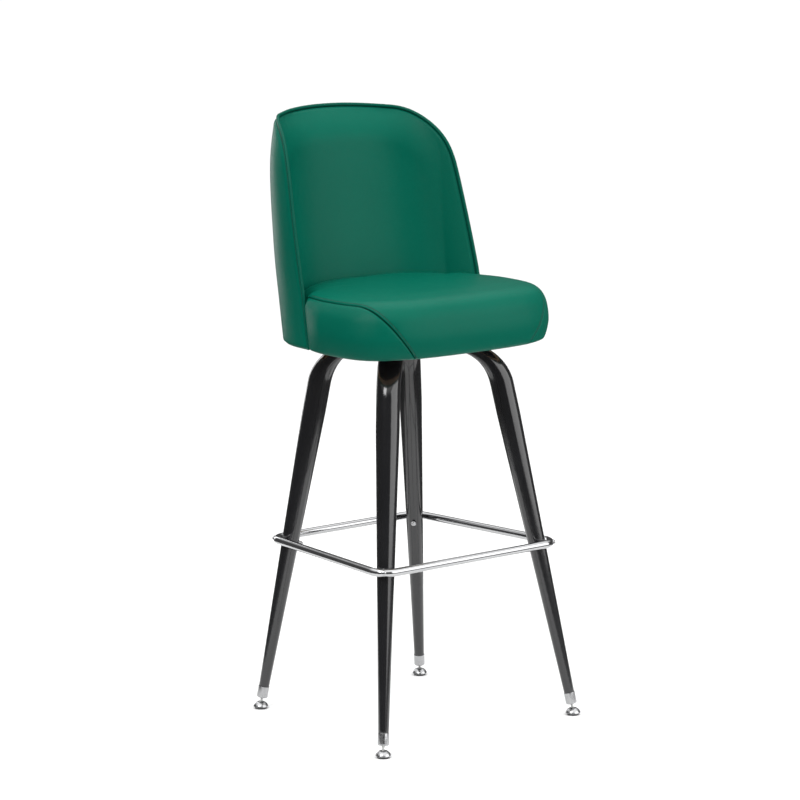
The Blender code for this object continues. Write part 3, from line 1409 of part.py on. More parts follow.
def make_cushion(seat):
    """The seat's foam, a closed solid that stands a little inside its covers."""
    depth = COVER + CUSHION_CLEARANCE
    start = run_of_height(BOARD_TOP + GAP)
    runs = [start, *(run for run in row_runs() if run > start + depth)]
    columns = sum(SEAT_COUNTS)
    points, quads = cushion_net([[run] * columns for run in runs], depth)
    loop = 2 * columns - 2
    points[:loop, 2] = BOARD_TOP + GAP
    mesh = faces_mesh("cushion", points, quads)
    shape = bmesh.new()
    shape.from_mesh(mesh)
    shape.verts.ensure_lookup_table()
    shape.faces.new(shape.verts[:loop][::-1])
    shape.to_mesh(mesh)
    shape.free()
    smooth(mesh, 60)
    piece("seat_foam", mesh, "foam", seat)


def make_seat_covers(seat):
    """The top cover, which runs down the front, and the two sides' covers below their seams."""
    keys = row_runs()
    half_gap = SEAM_GAP / 2
    first, last = seam_columns()
    starts = np.array([seam_run(column) for column in range(sum(SEAT_COUNTS))])
    starts[first + 1 :] += half_gap
    starts[first] = SEAM_TIP + SEAM_GAP
    shares = keys[:, None] / keys[-1]
    runs = starts + (keys[-1] - starts) * shares
    near, quads = cushion_net(runs, 0)
    far, _ = cushion_net(runs, COVER)
    piece("seat_top_cover", solid_mesh("top_cover", near, far, quads), "vinyl", seat)

    ends = np.array([seam_run(column) - half_gap for column in range(first, last + 1)])
    ends[0] = SEAM_TIP
    shares = keys[: SIDE_COVER_COUNT, None] / keys[SIDE_COVER_COUNT - 1]
    runs = ends * shares
    index = np.arange(runs.size).reshape(runs.shape)
    quads = np.stack([index[:-1, :-1], index[:-1, 1:], index[1:, 1:], index[1:, :-1]], axis=-1)
    quads = quads.reshape(-1, 4)
    for name, mirror in (("left", -1), ("right", 1)):
        faces = []
        for depth in (0, COVER):
            rows = [
                [seat_half(run, depth)[first + column] for column, run in enumerate(row)]
                for row in runs
            ]
            faces.append(np.array(rows).reshape(-1, 3) * np.array([mirror, 1, 1]))
        cover = solid_mesh(f"side_cover_{name}", *faces, quads)
        piece(f"seat_side_cover_{name}", cover, "vinyl", seat)


def swivel_y():
    """Where the swivel axis lies, so that the front feet and the back reach equally far."""
    net, _, _ = back_net(0, 0)
    rear = back_points(net, 0)[:, 1].max()
    front = FOOT_REACH["front"] * math.cos(LEG_TURNS["front_left"])
    return -(front - CUP_RADIUS * math.cos(math.pi / CUP_STEPS) + rear) / 2


def main():
    fresh_scene()
    stool = empty("bar_stool_root", None, (0, swivel_y(), 0))
    base = empty("base", stool)
    seat = empty("seat_pivot", stool)
    make_legs(base)
    make_feet()
    make_footring(base)
    make_swivel(base, seat)
    make_fasteners(base, seat)
    make_back(seat)
    make_board(seat)
    make_cushion(seat)
    make_seat_covers(seat)


main()
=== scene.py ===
# %% [markdown]
# # A swivel bar stool, dressed for a photograph
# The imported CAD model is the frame: every piece made here takes its place from it and rides on one of
# its bodies. Surfaces are worked out with numpy as functions of two parameters, and finishes are
# shader nodes. All lengths are metres, with +Z up and the stool's front towards -Y.

# %% Load the frame
import json
import math

import bmesh
import bpy
import numpy as np
from mathutils import Matrix, Vector


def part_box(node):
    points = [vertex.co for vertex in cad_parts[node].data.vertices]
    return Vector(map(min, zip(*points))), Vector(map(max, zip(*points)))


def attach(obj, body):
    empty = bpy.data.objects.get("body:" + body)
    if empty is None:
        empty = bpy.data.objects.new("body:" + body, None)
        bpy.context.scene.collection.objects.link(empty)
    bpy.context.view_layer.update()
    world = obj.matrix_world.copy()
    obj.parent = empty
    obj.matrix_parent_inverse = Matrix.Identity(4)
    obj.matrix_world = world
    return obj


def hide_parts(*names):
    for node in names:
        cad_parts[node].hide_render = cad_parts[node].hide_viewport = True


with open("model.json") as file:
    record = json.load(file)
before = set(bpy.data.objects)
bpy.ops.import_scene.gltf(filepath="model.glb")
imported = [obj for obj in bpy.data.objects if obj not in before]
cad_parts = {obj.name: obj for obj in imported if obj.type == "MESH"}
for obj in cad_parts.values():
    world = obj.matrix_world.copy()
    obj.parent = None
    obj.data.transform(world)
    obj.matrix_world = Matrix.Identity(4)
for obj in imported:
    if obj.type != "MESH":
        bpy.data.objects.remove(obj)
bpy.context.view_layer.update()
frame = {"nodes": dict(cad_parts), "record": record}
rivet_low, rivet_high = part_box("swivel_rivet")
SWIVEL_Y = (rivet_low[1] + rivet_high[1]) / 2
print(f"the swivel axis stands at y = {SWIVEL_Y * 1000:.2f} mm")

SIDES = ("front_left", "front_right", "rear_right", "rear_left")
LEG_TURNS = dict(zip(SIDES, map(math.radians, (225, 135, 45, -45))))

# %% [markdown]
# ## The camera
# A camera was fitted to the four glides and the footring's corners in the photograph. It stands
# 5.8 m away at eye height, turned 38 degrees round the stool, and looks through a long lens.

# %% Set the camera
CAMERA_PLACE = (-3.59849, -4.56660 + SWIVEL_Y, 1.57542)
CAMERA_TURN = -0.66723
CAMERA_DIP = 0.170833
CAMERA_ROLL = -0.010596
LENS_MM = 148.728
SENSOR_MM = 36

camera_data = bpy.data.cameras.new("camera")
camera_data.lens = LENS_MM
camera_data.sensor_width = SENSOR_MM
camera = bpy.data.objects.new("camera", camera_data)
bpy.context.scene.collection.objects.link(camera)
camera.matrix_world = (
    Matrix.Translation(CAMERA_PLACE)
    @ Matrix.Rotation(CAMERA_TURN, 4, "Z")
    @ Matrix.Rotation(math.pi / 2 - CAMERA_DIP, 4, "X")
    @ Matrix.Rotation(CAMERA_ROLL, 4, "Z")
)
bpy.context.scene.camera = camera
print("camera at", [round(value, 3) for value in CAMERA_PLACE])

# %% [markdown]
# ## Surfaces as grids
# A surface is a grid of points, rows by columns. One helper turns any grid into a mesh. Later ones
# turn a profile about an axis or carry a circle along a path. Nothing loops over vertices.


# %% Grid helper
def grid_quads(grid, around=False, closed=False):
    """Quads of a grid of points. around joins each row's ends, closed joins last row to first."""
    rows, columns = grid.shape[:2]
    index = np.arange(rows * columns).reshape(rows, columns)
    right = np.roll(index, -1, axis=1)
    if not around:
        index, right = index[:, :-1], right[:, :-1]
    if closed:
        low, high = index, np.roll(index, -1, axis=0)
        low_right, high_right = right, np.roll(right, -1, axis=0)
    else:
        low, high, low_right, high_right = index[:-1], index[1:], right[:-1], right[1:]
    return np.stack([low, low_right, high_right, high], axis=-1).reshape(-1, 4)


print("a grid of 3 by 3 points has", len(grid_quads(np.zeros((3, 3)))), "faces")

# %% Piece helper
MERGE_DISTANCE = 1e-6


def new_piece(name, points, quads, body, slot, replaced=(), smooth_deg=50, tidy=True, finish=None, painted_shade=None):
    """A visible piece from points and faces, that rides on a body and stands for CAD nodes.

    A closed piece is tidied: its doubles are merged and its faces turned outwards. An open sheet
    keeps the side that its faces have.
    """
    mesh = bpy.data.meshes.new(name)
    faces = quads.tolist() if isinstance(quads, np.ndarray) else quads
    mesh.from_pydata(np.asarray(points).reshape(-1, 3).tolist(), [], faces)
    if tidy:
        shape = bmesh.new()
        shape.from_mesh(mesh)
        bmesh.ops.remove_doubles(shape, verts=shape.verts[:], dist=MERGE_DISTANCE)
        bmesh.ops.recalc_face_normals(shape, faces=shape.faces[:])
        shape.to_mesh(mesh)
        shape.free()
    # Values of painted shade are stored per point as an attribute, and the vinyl darkens its colour by them.
    if painted_shade is not None:
        values = np.clip(np.asarray(painted_shade, np.float32).ravel(), 0, 1)
        mesh.attributes.new("painted_shade", "FLOAT", "POINT").data.foreach_set("value", values)
    mesh.shade_smooth()
    mesh.set_sharp_from_angle(angle=math.radians(smooth_deg))
    thing = bpy.data.objects.new(name, mesh)
    bpy.context.scene.collection.objects.link(thing)
    thing.data.materials.append(FINISH[finish or slot])
    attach(thing, body)
    if replaced:
        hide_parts(*replaced)
    return thing


print("piece helper ready")

# %% [markdown]
# ## Finishes
# Each finish starts from the Principled shader. Patterns that several finishes share are node
# groups: a fine grain, a slow mottling and drawn scratches. Each is built once and set to suit its
# material.


# %% Node helper
class Nodes:
    """A small wrapper that makes nodes and joins their sockets by name."""

    def __init__(self, tree):
        self.tree = tree

    def put(self, node, values):
        """Each of a node's sockets takes a value, or a link from another socket."""
        for socket, value in values.items():
            if isinstance(value, bpy.types.NodeSocket):
                self.tree.links.new(value, node.inputs[socket])
            else:
                node.inputs[socket].default_value = value
        return node

    def add(self, kind, values=None, **settings):
        node = self.tree.nodes.new(kind)
        for name, value in settings.items():
            setattr(node, name, value)
        return self.put(node, values or {})

    def math(self, operation, first, second=0.0, clamp=False):
        node = self.add("ShaderNodeMath", {0: first, 1: second}, operation=operation, use_clamp=clamp)
        return node.outputs[0]

    def noise(self, place, scale, **values):
        return self.add("ShaderNodeTexNoise", {"Vector": place, "Scale": scale, **values}).outputs[0]

    def waves(self, place, scale, distortion, axis, **values):
        values = {"Vector": place, "Scale": scale, "Distortion": distortion, **values}
        return self.add("ShaderNodeTexWave", values, bands_direction=axis).outputs["Fac"]

    def stretched(self, place, factors):
        return self.add("ShaderNodeVectorMath", {0: place, 1: factors}, operation="MULTIPLY").outputs[0]

    def scaled(self, value, factor, start):
        """start + factor * value"""
        return self.math("ADD", self.math("MULTIPLY", value, factor), start)

    def mix(self, factor, first, second):
        node = self.add("ShaderNodeMix", {0: factor, 6: first, 7: second}, data_type="RGBA")
        return node.outputs[2]

    def ramp(self, factor, stops):
        node = self.add("ShaderNodeValToRGB", {0: factor})
        elements = node.color_ramp.elements
        for number, (place, value) in enumerate(stops):
            element = elements[number] if number < 2 else elements.new(place)
            element.position = place
            element.color = (value, value, value, 1)
        return node.outputs[0]


print("node helper ready")


# %% Group helper
def group(name, inputs, outputs):
    """A new shader node group: returns (its tree, its input sockets, its output node, its Nodes)."""
    tree = bpy.data.node_groups.new(name, "ShaderNodeTree")
    for socket, kind, value in inputs:
        made = tree.interface.new_socket(socket, in_out="INPUT", socket_type=kind)
        if value is not None:
            made.default_value = value
    for socket, kind in outputs:
        tree.interface.new_socket(socket, in_out="OUTPUT", socket_type=kind)
    nodes = Nodes(tree)
    return tree, nodes.add("NodeGroupInput").outputs, nodes.add("NodeGroupOutput"), nodes


NUMBER, VECTOR = "NodeSocketFloat", "NodeSocketVector"
print("group sockets:", NUMBER, VECTOR)

# %% Grain group
GRAIN, inside, result, nodes = group(
    "pebble_grain",
    [("Vector", VECTOR, None), ("Scale", NUMBER, 900.0), ("Depth", NUMBER, 0.5)],
    [("Height", NUMBER), ("Crease", NUMBER)],
)
cells = nodes.add(
    "ShaderNodeTexVoronoi",
    {"Vector": inside["Vector"], "Scale": inside["Scale"], "Randomness": 1.0},
    feature="DISTANCE_TO_EDGE",
)
crease = nodes.ramp(cells.outputs["Distance"], [(0.0, 0.0), (0.16, 1.0)])
soft = nodes.noise(inside["Vector"], nodes.math("MULTIPLY", inside["Scale"], 0.45), Detail=3.0)
height = nodes.math("ADD", nodes.math("MULTIPLY", crease, 0.7), nodes.math("MULTIPLY", soft, 0.3))
nodes.put(result, {"Height": nodes.math("MULTIPLY", height, inside["Depth"]), "Crease": crease})
print("grain group:", len(GRAIN.nodes), "nodes")

# %% Mottle group
MOTTLE, inside, result, nodes = group(
    "mottle",
    [("Vector", VECTOR, None), ("Scale", NUMBER, 6.0), ("Detail", NUMBER, 4.0), ("Spread", NUMBER, 0.2)],
    [("Factor", NUMBER)],
)
cloud = nodes.noise(inside["Vector"], inside["Scale"], Detail=inside["Detail"], Roughness=0.55)
spread = nodes.math("MULTIPLY", nodes.math("SUBTRACT", cloud, 0.5), inside["Spread"])
nodes.put(result, {"Factor": nodes.math("ADD", spread, 0.5, clamp=True)})
print("mottle group:", len(MOTTLE.nodes), "nodes")

# %% Scratch group
SCRATCHES, inside, result, nodes = group(
    "fine_scratches",
    [("Vector", VECTOR, None), ("Scale", NUMBER, 300.0), ("Stretch", VECTOR, (1.0, 1.0, 0.04))],
    [("Mask", NUMBER)],
)
drawn = nodes.stretched(inside["Vector"], inside["Stretch"])
lines = nodes.noise(drawn, inside["Scale"], Detail=5.0, Roughness=0.7)
nodes.put(result, {"Mask": nodes.ramp(lines, [(0.42, 0.0), (0.66, 1.0)])})
print("scratch group:", len(SCRATCHES.nodes), "nodes")


# %% Material helper
FINISH = {}


class Finish(Nodes):
    """A new material: its nodes, its Principled shader and its Object coordinates, called place.

    Where a pattern feeds the roughness, the number given here is what a plain viewer shows.
    """

    def __init__(self, name, roughness, metallic=0.0, **sockets):
        made = bpy.data.materials.new(name)
        made.use_nodes = True
        super().__init__(made.node_tree)
        self.shader = made.node_tree.nodes["Principled BSDF"]
        values = {socket.replace("_", " "): value for socket, value in sockets.items()}
        self.put(self.shader, {"Roughness": roughness, "Metallic": metallic, **values})
        self.place = self.add("ShaderNodeTexCoord").outputs["Object"]
        FINISH[name] = made

    def use(self, kind, **values):
        """One of the shared groups."""
        node = self.add("ShaderNodeGroup", node_tree=kind)
        return self.put(node, {"Vector": self.place, **values}).outputs

    def cloud(self, scale, detail, spread):
        """A slow mottling between 0 and 1, for a finish's colour and gloss."""
        return self.use(MOTTLE, Scale=scale, Detail=detail, Spread=spread)["Factor"]

    def colour(self, factor, dark, light):
        """The shader takes a colour between two, each given as red, green and blue."""
        self.put(self.shader, {"Base Color": self.mix(factor, (*dark, 1), (*light, 1))})

    def dull(self, value, factor, start):
        """The shader takes a roughness of start + factor * value."""
        self.put(self.shader, {"Roughness": self.scaled(value, factor, start)})

    def bump(self, height, distance):
        """The shader's normal follows a height."""
        node = self.add("ShaderNodeBump", {"Height": height, "Distance": distance, "Strength": 1.0})
        self.put(self.shader, {"Normal": node.outputs[0]})


print("material helper ready")

# %% [markdown]
# ## Upholstery vinyl
# The cover is a knitted backing with a skin of vinyl, embossed with a fine pebble grain. It is a deep
# green whose gloss is broken up by the grain, so light lies on it as a soft sheen. The grain is cell
# edges of a Voronoi pattern about a millimetre across. Each sewn piece carries a point attribute
# that is 1 in the bottom of a seam, and the colour is darkened by it: painted shade for the groove,
# where no light comes in.

# %% Vinyl
VINYL_GREEN = (0.0004, 0.118, 0.076, 1)
VINYL_LIGHT = (0.0010, 0.140, 0.091, 1)
# Painted shade colour: an attribute mixes seams, stitch rows, the piping and the side panels behind the wing
# towards it. The grain's pores are darkened towards it too.
VINYL_PAINTED_SHADE = (0.0004, 0.016, 0.010, 1)
VINYL_ROUGHNESS, VINYL_CLOUDING, VINYL_GRAIN_GLOSS = 0.31, 0.08, -0.04
GRAIN_SCALE, GRAIN_DISTANCE = 950.0, 0.00009
PORE_SHADE = 0.25

look = Finish("vinyl", 0.44, Specular_IOR_Level=0.08)
grain = look.use(GRAIN, Scale=GRAIN_SCALE, Depth=1.0)
cloud = look.cloud(9.0, 3.0, 0.7)
colour = look.mix(cloud, VINYL_GREEN, VINYL_LIGHT)
pores = look.math("MULTIPLY", look.math("SUBTRACT", 1.0, grain["Crease"]), PORE_SHADE)
# The attribute of painted shade from each sewn piece, which darkens the colour.
painted_shade = look.add("ShaderNodeAttribute", attribute_name="painted_shade").outputs["Fac"]
shade = look.mix(look.math("MAXIMUM", pores, painted_shade), colour, VINYL_PAINTED_SHADE)
look.put(look.shader, {"Base Color": shade})
rough = look.scaled(cloud, VINYL_CLOUDING, VINYL_ROUGHNESS)
gloss = look.math("MULTIPLY", grain["Crease"], VINYL_GRAIN_GLOSS)
look.put(look.shader, {"Roughness": look.math("ADD", rough, gloss)})
look.bump(grain["Height"], GRAIN_DISTANCE)
print("vinyl:", len(look.tree.nodes), "nodes")

# %% [markdown]
# ## Enamel, chrome and zinc
# The legs are dipped in black enamel, which levels into long shallow waves. Chrome plating is nearly
# a mirror with a haze of fine marks, and on the ferrules and feet it is satin. The swivel's plates are
# zinc plated, dull and slightly cloudy.

# %% Metals
look = Finish("black_enamel", 0.20, Coat_Weight=0.5, Coat_Roughness=0.08)
cloud = look.cloud(14.0, 3.0, 0.9)
look.colour(cloud, (0.0065, 0.0066, 0.0075), (0.012, 0.012, 0.0135))
look.dull(cloud, 0.14, 0.12)
look.bump(look.noise(look.place, 130.0, Detail=2.0), 0.00012)

look = Finish("chrome", 0.06, metallic=1.0)
marks = look.use(SCRATCHES, Scale=420.0)["Mask"]
cloud = look.cloud(30.0, 4.0, 0.8)
look.colour(cloud, (0.42, 0.425, 0.435), (0.50, 0.50, 0.505))
haze = look.math("ADD", look.math("MULTIPLY", marks, 0.07), look.math("MULTIPLY", cloud, 0.06))
look.put(look.shader, {"Roughness": look.math("ADD", haze, 0.035)})
look.bump(marks, 0.000006)

look = Finish("satin_chrome", 0.26, metallic=1.0)
marks = look.use(SCRATCHES, Scale=380.0)["Mask"]
cloud = look.cloud(45.0, 4.0, 0.8)
look.colour(cloud, (0.36, 0.365, 0.375), (0.44, 0.44, 0.445))
look.dull(marks, 0.08, 0.22)
look.bump(marks, 0.00001)

look = Finish("zinc_steel", 0.38, metallic=1.0)
marks = look.use(SCRATCHES, Scale=250.0, Stretch=(1.0, 0.05, 1.0))["Mask"]
cloud = look.cloud(60.0, 5.0, 1.4)
look.colour(cloud, (0.42, 0.43, 0.44), (0.66, 0.66, 0.63))
look.dull(cloud, 0.20, 0.26)
look.bump(marks, 0.00002)
print("metals:", [name for name in FINISH])

# %% [markdown]
# ## Plastic, plywood and cloth
# The glide's pad is moulded plastic with a fine matt texture. The board and the back's shell are
# plywood, whose thin layers show on their edges. Foam and the black dust cover are soft and dull.

# %% Plastic and inner materials
look = Finish("glide_plastic", 0.5)
cloud = look.cloud(90.0, 4.0, 1.0)
look.colour(cloud, (0.022, 0.022, 0.024), (0.045, 0.045, 0.047))
look.dull(cloud, 0.25, 0.38)
grain = look.use(GRAIN, Scale=2600.0, Depth=1.0)
look.bump(grain["Height"], 0.00003)

look = Finish("plywood", 0.68)
figure = look.stretched(look.place, (22.0, 3.0, 120.0))
wood = look.noise(figure, 2.2, Detail=6.0, Distortion=0.6)
layers = look.waves(look.place, 105.0, 0.4, "Z", Detail=1.0)
tone = look.math("ADD", look.math("MULTIPLY", wood, 0.6), look.math("MULTIPLY", layers, 0.4))
look.colour(tone, (0.33, 0.19, 0.095), (0.60, 0.42, 0.25))
look.dull(tone, 0.2, 0.56)
look.bump(tone, 0.0001)

look = Finish("foam", 0.95)
cloud = look.cloud(25.0, 5.0, 0.8)
look.colour(cloud, (0.72, 0.64, 0.42), (0.86, 0.80, 0.62))
grain = look.use(GRAIN, Scale=1400.0, Depth=1.0)
look.bump(grain["Height"], 0.0003)

look = Finish("cambric", 0.95, Sheen_Weight=0.2)
weave = look.math("MULTIPLY", *(look.waves(look.place, 420.0, 0.3, axis) for axis in ("X", "Y")))
look.colour(weave, (0.010, 0.010, 0.011), (0.032, 0.032, 0.034))
look.bump(weave, 0.0002)

look = Finish("thread", 0.6, Sheen_Weight=0.3)
ply = look.waves(look.place, 900.0, 0.5, "DIAGONAL")
look.colour(ply, (0.0006, 0.014, 0.009), (0.001, 0.034, 0.022))
look.bump(ply, 0.00008)
print("finishes:", ", ".join(FINISH))

# %% [markdown]
# ## The legs
# Each leg is one tapered tube. It is bent over at the top, and its end is pressed flat to bolt under
# the swivel. A section is a superellipse whose half height, half width and power change along the
# tube, so the same surface runs from round to flat with no joint.

# %% Leg sizes
BALL_HEIGHT = 0.0085
FOOT_REACH = dict(zip(SIDES, (0.3073, 0.3073, 0.2623, 0.2623)))
KNEE_REACH = dict(zip(SIDES, (0.1678, 0.1678, 0.1327, 0.1327)))
FERRULE_START, FERRULE_END = 0.0123, 0.0338
LEG_FOOT_RADIUS, LEG_TOP_RADIUS = 0.0093, 0.0207
LEG_FULL_HEIGHT = 0.550
LEG_RUN_HEIGHT = 0.6715
LEG_SLOPE = {
    side: math.atan((foot - KNEE_REACH[side]) / (LEG_RUN_HEIGHT - BALL_HEIGHT))
    for side, foot in FOOT_REACH.items()
}
LEG_RUN_END = 0.038
LEG_BEND_RADIUS = 0.086
LEG_RUN_HALF_THICKNESS = 0.0075
LEG_RUN_HALF_WIDTH = 0.0225
LEG_POWERS = (2.0, 5.0)
LEG_END_STEPS, LEG_END_EASE, LEG_END_ROOM = (0.0002, 0.0005, 0.0012), (0.965, 0.985, 0.997), 0.004
STRAIGHT_ROWS, BEND_ROWS, RUN_ROWS, LEG_AROUND = 70, 42, 12, 56
TUBE_WALL = 0.0014
print("legs lean", [round(math.degrees(slope), 1) for slope in LEG_SLOPE.values()], "degrees")


# %% Shares, turns and places
def smooth_share(share):
    """3 s^2 - 2 s^3, from 0 to 1 with level ends."""
    share = np.clip(share, 0, 1)
    return share * share * (3 - 2 * share)


def between(first, last, share):
    """first + (last - first) * share"""
    return first + (last - first) * share


def share_of(value, first, last):
    """How far a value has gone from first to last, held between 0 and 1."""
    return np.clip((value - first) / (last - first), 0, 1)


def full_turn(count):
    """Angles that share a full turn evenly."""
    return np.linspace(0, 2 * math.pi, count, endpoint=False)


def from_axis(points):
    """Points measured from the swivel axis, put where the axis stands."""
    return points + np.array([0, SWIVEL_Y, 0])


def turn_matrix(lean, turn):
    """Rz(-turn) Rx(lean), as the CAD's frames do it."""
    return np.array(Matrix.Rotation(-turn, 3, "Z") @ Matrix.Rotation(lean, 3, "X"))


print(f"a quarter of the way eases to {smooth_share(0.25):.3f}")


# %% The leg's line
def leg_axis_reach(side, height):
    """How far from the swivel axis the leg's straight part is at a height."""
    return FOOT_REACH[side] - math.tan(LEG_SLOPE[side]) * (height - BALL_HEIGHT)


def leg_radius(side, height):
    """The leg's radius, which grows evenly from the ferrule up to LEG_FULL_HEIGHT."""
    foot = BALL_HEIGHT + FERRULE_END * math.cos(LEG_SLOPE[side])
    return between(LEG_FOOT_RADIUS, LEG_TOP_RADIUS, share_of(height, foot, LEG_FULL_HEIGHT))


def leg_line(side):
    """The leg's middle line as (reach, height, lean, half thickness, half width, power) rows.

    Straight up the slope, an arc of LEG_BEND_RADIUS, then level towards the swivel.
    """
    slope = LEG_SLOPE[side]
    foot = BALL_HEIGHT + FERRULE_END * math.cos(slope)
    turn = math.pi / 2 - slope
    middle = leg_axis_reach(side, LEG_RUN_HEIGHT) - LEG_BEND_RADIUS * math.tan(turn / 2)
    bend_centre = LEG_RUN_HEIGHT - LEG_BEND_RADIUS
    even = np.linspace(foot + LEG_END_ROOM, bend_centre + LEG_BEND_RADIUS * math.sin(slope), STRAIGHT_ROWS)
    heights = np.concatenate([foot + np.array(LEG_END_STEPS), even])
    straight = np.column_stack([leg_axis_reach(side, heights), heights, np.full(len(heights), slope)])
    lean = slope + turn * np.linspace(0, 1, BEND_ROWS)[1:]
    arc = LEG_BEND_RADIUS * np.column_stack([np.cos(lean), np.sin(lean)])
    bend = np.column_stack([arc + [middle, bend_centre], lean])
    ends = [(reach, LEG_RUN_HEIGHT, math.pi / 2) for reach in (middle, LEG_RUN_END)]
    line = np.concatenate([straight, bend, np.linspace(*ends, RUN_ROWS)[1:]])
    radius = leg_radius(side, line[:, 1])
    pressed = smooth_share((line[:, 2] - slope) / turn)
    thick = radius + (LEG_RUN_HALF_THICKNESS - LEG_TOP_RADIUS) * pressed
    wide = radius + (LEG_RUN_HALF_WIDTH - LEG_TOP_RADIUS) * pressed
    ease = np.ones(len(line))
    ease[: len(LEG_END_EASE)] = LEG_END_EASE
    return np.column_stack([line, thick * ease, wide * ease, between(*LEG_POWERS, pressed**2)])


print("leg line:", len(leg_line(SIDES[0])), "sections")


# %% Make the legs
def leg_surface(side):
    """P(s, t) = line(s) + w |cos t|^(2/p) sideways + h |sin t|^(2/p) across, each with its sign."""
    reach, height, lean, thick, wide, power = (column[:, None] for column in leg_line(side).T)
    turns = full_turn(LEG_AROUND)[None]
    across = wide * np.sign(np.cos(turns)) * np.abs(np.cos(turns)) ** (2 / power)
    through = thick * np.sign(np.sin(turns)) * np.abs(np.sin(turns)) ** (2 / power)
    grid = np.stack([across, reach + through * np.cos(lean), height + through * np.sin(lean)], axis=-1)
    return from_axis(grid @ turn_matrix(0, LEG_TURNS[side]).T)


def walled(thing, thickness):
    """A Solidify wall, behind the faces."""
    wall = thing.modifiers.new("wall", "SOLIDIFY")
    wall.thickness = thickness
    wall.offset = -1


for side in SIDES:
    grid = leg_surface(side)
    quads = grid_quads(grid, around=True)
    leg = new_piece(f"leg_tube_{side}", grid, quads, "base", "black_enamel", [f"leg_{side}"])
    walled(leg, TUBE_WALL)
print("legs:", len(SIDES), "tubes of", grid.shape[0] * grid.shape[1], "points")

# %% [markdown]
# ## Feet
# A chromed ferrule closes each leg's end. A levelling screw runs in it, and its ball sits in a
# chromed cup with a plastic pad, so the foot lies flat on a floor that isn't. All are turned shapes:
# a profile with rounded corners, carried round an axis.

# %% Turned shapes
CORNER_SHARE = 0.45


def rounded(profile, radius, steps=5):
    """A profile of (radius, height) points with an arc in each corner, tangent to both sides."""
    profile = np.asarray(profile, float)
    out = [profile[:1]]
    for before, corner, after in zip(profile, profile[1:], profile[2:]):
        back, forth = before - corner, after - corner
        lengths = np.linalg.norm(back), np.linalg.norm(forth)
        reach = min(radius, *(length * CORNER_SHARE for length in lengths))
        start, end = corner + back / lengths[0] * reach, corner + forth / lengths[1] * reach
        share = np.linspace(0, 1, steps)[:, None]
        out.append((1 - share) ** 2 * start + 2 * share * (1 - share) * corner + share**2 * end)
    out.append(profile[-1:])
    return np.concatenate(out)


def revolved(profile, place, lean, turn, around=48):
    """P(s, t) = place + R (r(s) sin t, r(s) cos t, h(s)): a profile turned about a leaning axis.

    R leans the axis by lean towards the swivel's side and turns it by turn about the vertical.
    """
    profile = np.asarray(profile, float)
    turns = full_turn(around)
    radius, height = profile[:, :1], np.repeat(profile[:, 1:], around, axis=1)
    grid = np.stack([radius * np.sin(turns), radius * np.cos(turns), height], axis=-1)
    return grid @ turn_matrix(lean, turn).T + place


print("turning helpers ready")

# %% Foot sizes
FERRULE_RADIUS, FERRULE_BORE = 0.0100, 0.0092
BALL_RADIUS, NECK_RADIUS = 0.0045, 0.0020
THREAD_RADIUS, THREAD_START, THREAD_PITCH, THREAD_DEPTH = 0.0030, 0.0100, 0.00125, 0.00035
STEPS_IN_THREAD, BALL_STEPS, SCREW_AROUND = 4, 16, 24
CUP_RADIUS, CUP_TOP, CUP_RIM_DROP = 0.0138, 0.0042, 0.0050
CUP_HOLE_RADIUS = 0.0040
PAD_RADIUS, PAD_INNER_RADIUS = 0.0108, 0.0118

print(f"foot: {2 * CUP_RADIUS * 1000:.0f} mm across its cup")

# %% Ferrule, cup and pad
FERRULE_PROFILE = rounded(
    [
        (FERRULE_BORE, FERRULE_END - 0.003),
        (FERRULE_BORE, FERRULE_END),
        (FERRULE_RADIUS, FERRULE_END),
        (FERRULE_RADIUS, FERRULE_START + 0.0022),
        (FERRULE_RADIUS - 0.0007, FERRULE_START + 0.0007),
        (FERRULE_RADIUS - 0.0024, FERRULE_START),
        (THREAD_RADIUS, FERRULE_START),
        (THREAD_RADIUS, FERRULE_START + 0.004),
    ],
    0.0006,
)
CUP_PROFILE = rounded(
    [
        (CUP_HOLE_RADIUS, CUP_TOP - 0.0014),
        (CUP_HOLE_RADIUS, CUP_TOP),
        (CUP_RADIUS * 0.42, CUP_TOP),
        (CUP_RADIUS * 0.64, CUP_TOP * 0.62),
        (CUP_RADIUS * 0.85, -CUP_TOP * 0.05),
        (CUP_RADIUS * 0.97, -CUP_RIM_DROP * 0.60),
        (CUP_RADIUS, -CUP_RIM_DROP),
        (CUP_RADIUS - 0.001, -CUP_RIM_DROP),
        (CUP_RADIUS - 0.0014, -CUP_RIM_DROP * 0.66),
    ],
    0.0016,
)
PAD_PROFILE = rounded(
    [
        (PAD_INNER_RADIUS - 0.002, -CUP_RIM_DROP * 0.74),
        (PAD_INNER_RADIUS, -CUP_RIM_DROP * 0.74),
        (PAD_INNER_RADIUS, -CUP_RIM_DROP),
        (PAD_RADIUS, -CUP_RIM_DROP - 0.0005),
        (PAD_RADIUS, -BALL_HEIGHT),
        (0.0, -BALL_HEIGHT),
    ],
    0.0004,
)


print("turned profiles:", [len(rows) for rows in (FERRULE_PROFILE, CUP_PROFILE, PAD_PROFILE)], "points")


# %% The levelling screw
def stem_profile():
    """Ball, neck and thread: the thread's radius goes in and out once for each pitch."""
    angle = np.linspace(math.acos(NECK_RADIUS / BALL_RADIUS), -math.pi / 2, BALL_STEPS)
    ball = np.column_stack([BALL_RADIUS * np.cos(angle), BALL_RADIUS * np.sin(angle)])
    ball[-1, 0] = 0
    heights = np.arange(FERRULE_START + 0.006, THREAD_START, -THREAD_PITCH / STEPS_IN_THREAD)
    wave = THREAD_RADIUS - THREAD_DEPTH * (0.5 + 0.5 * np.cos(2 * math.pi * heights / THREAD_PITCH))
    thread = np.column_stack([wave, heights])
    return np.concatenate([[(0, heights[0])], thread, [(NECK_RADIUS, THREAD_START - 0.001)], ball])


STEM_PROFILE = stem_profile()
print("screw's profile:", len(STEM_PROFILE), "points")


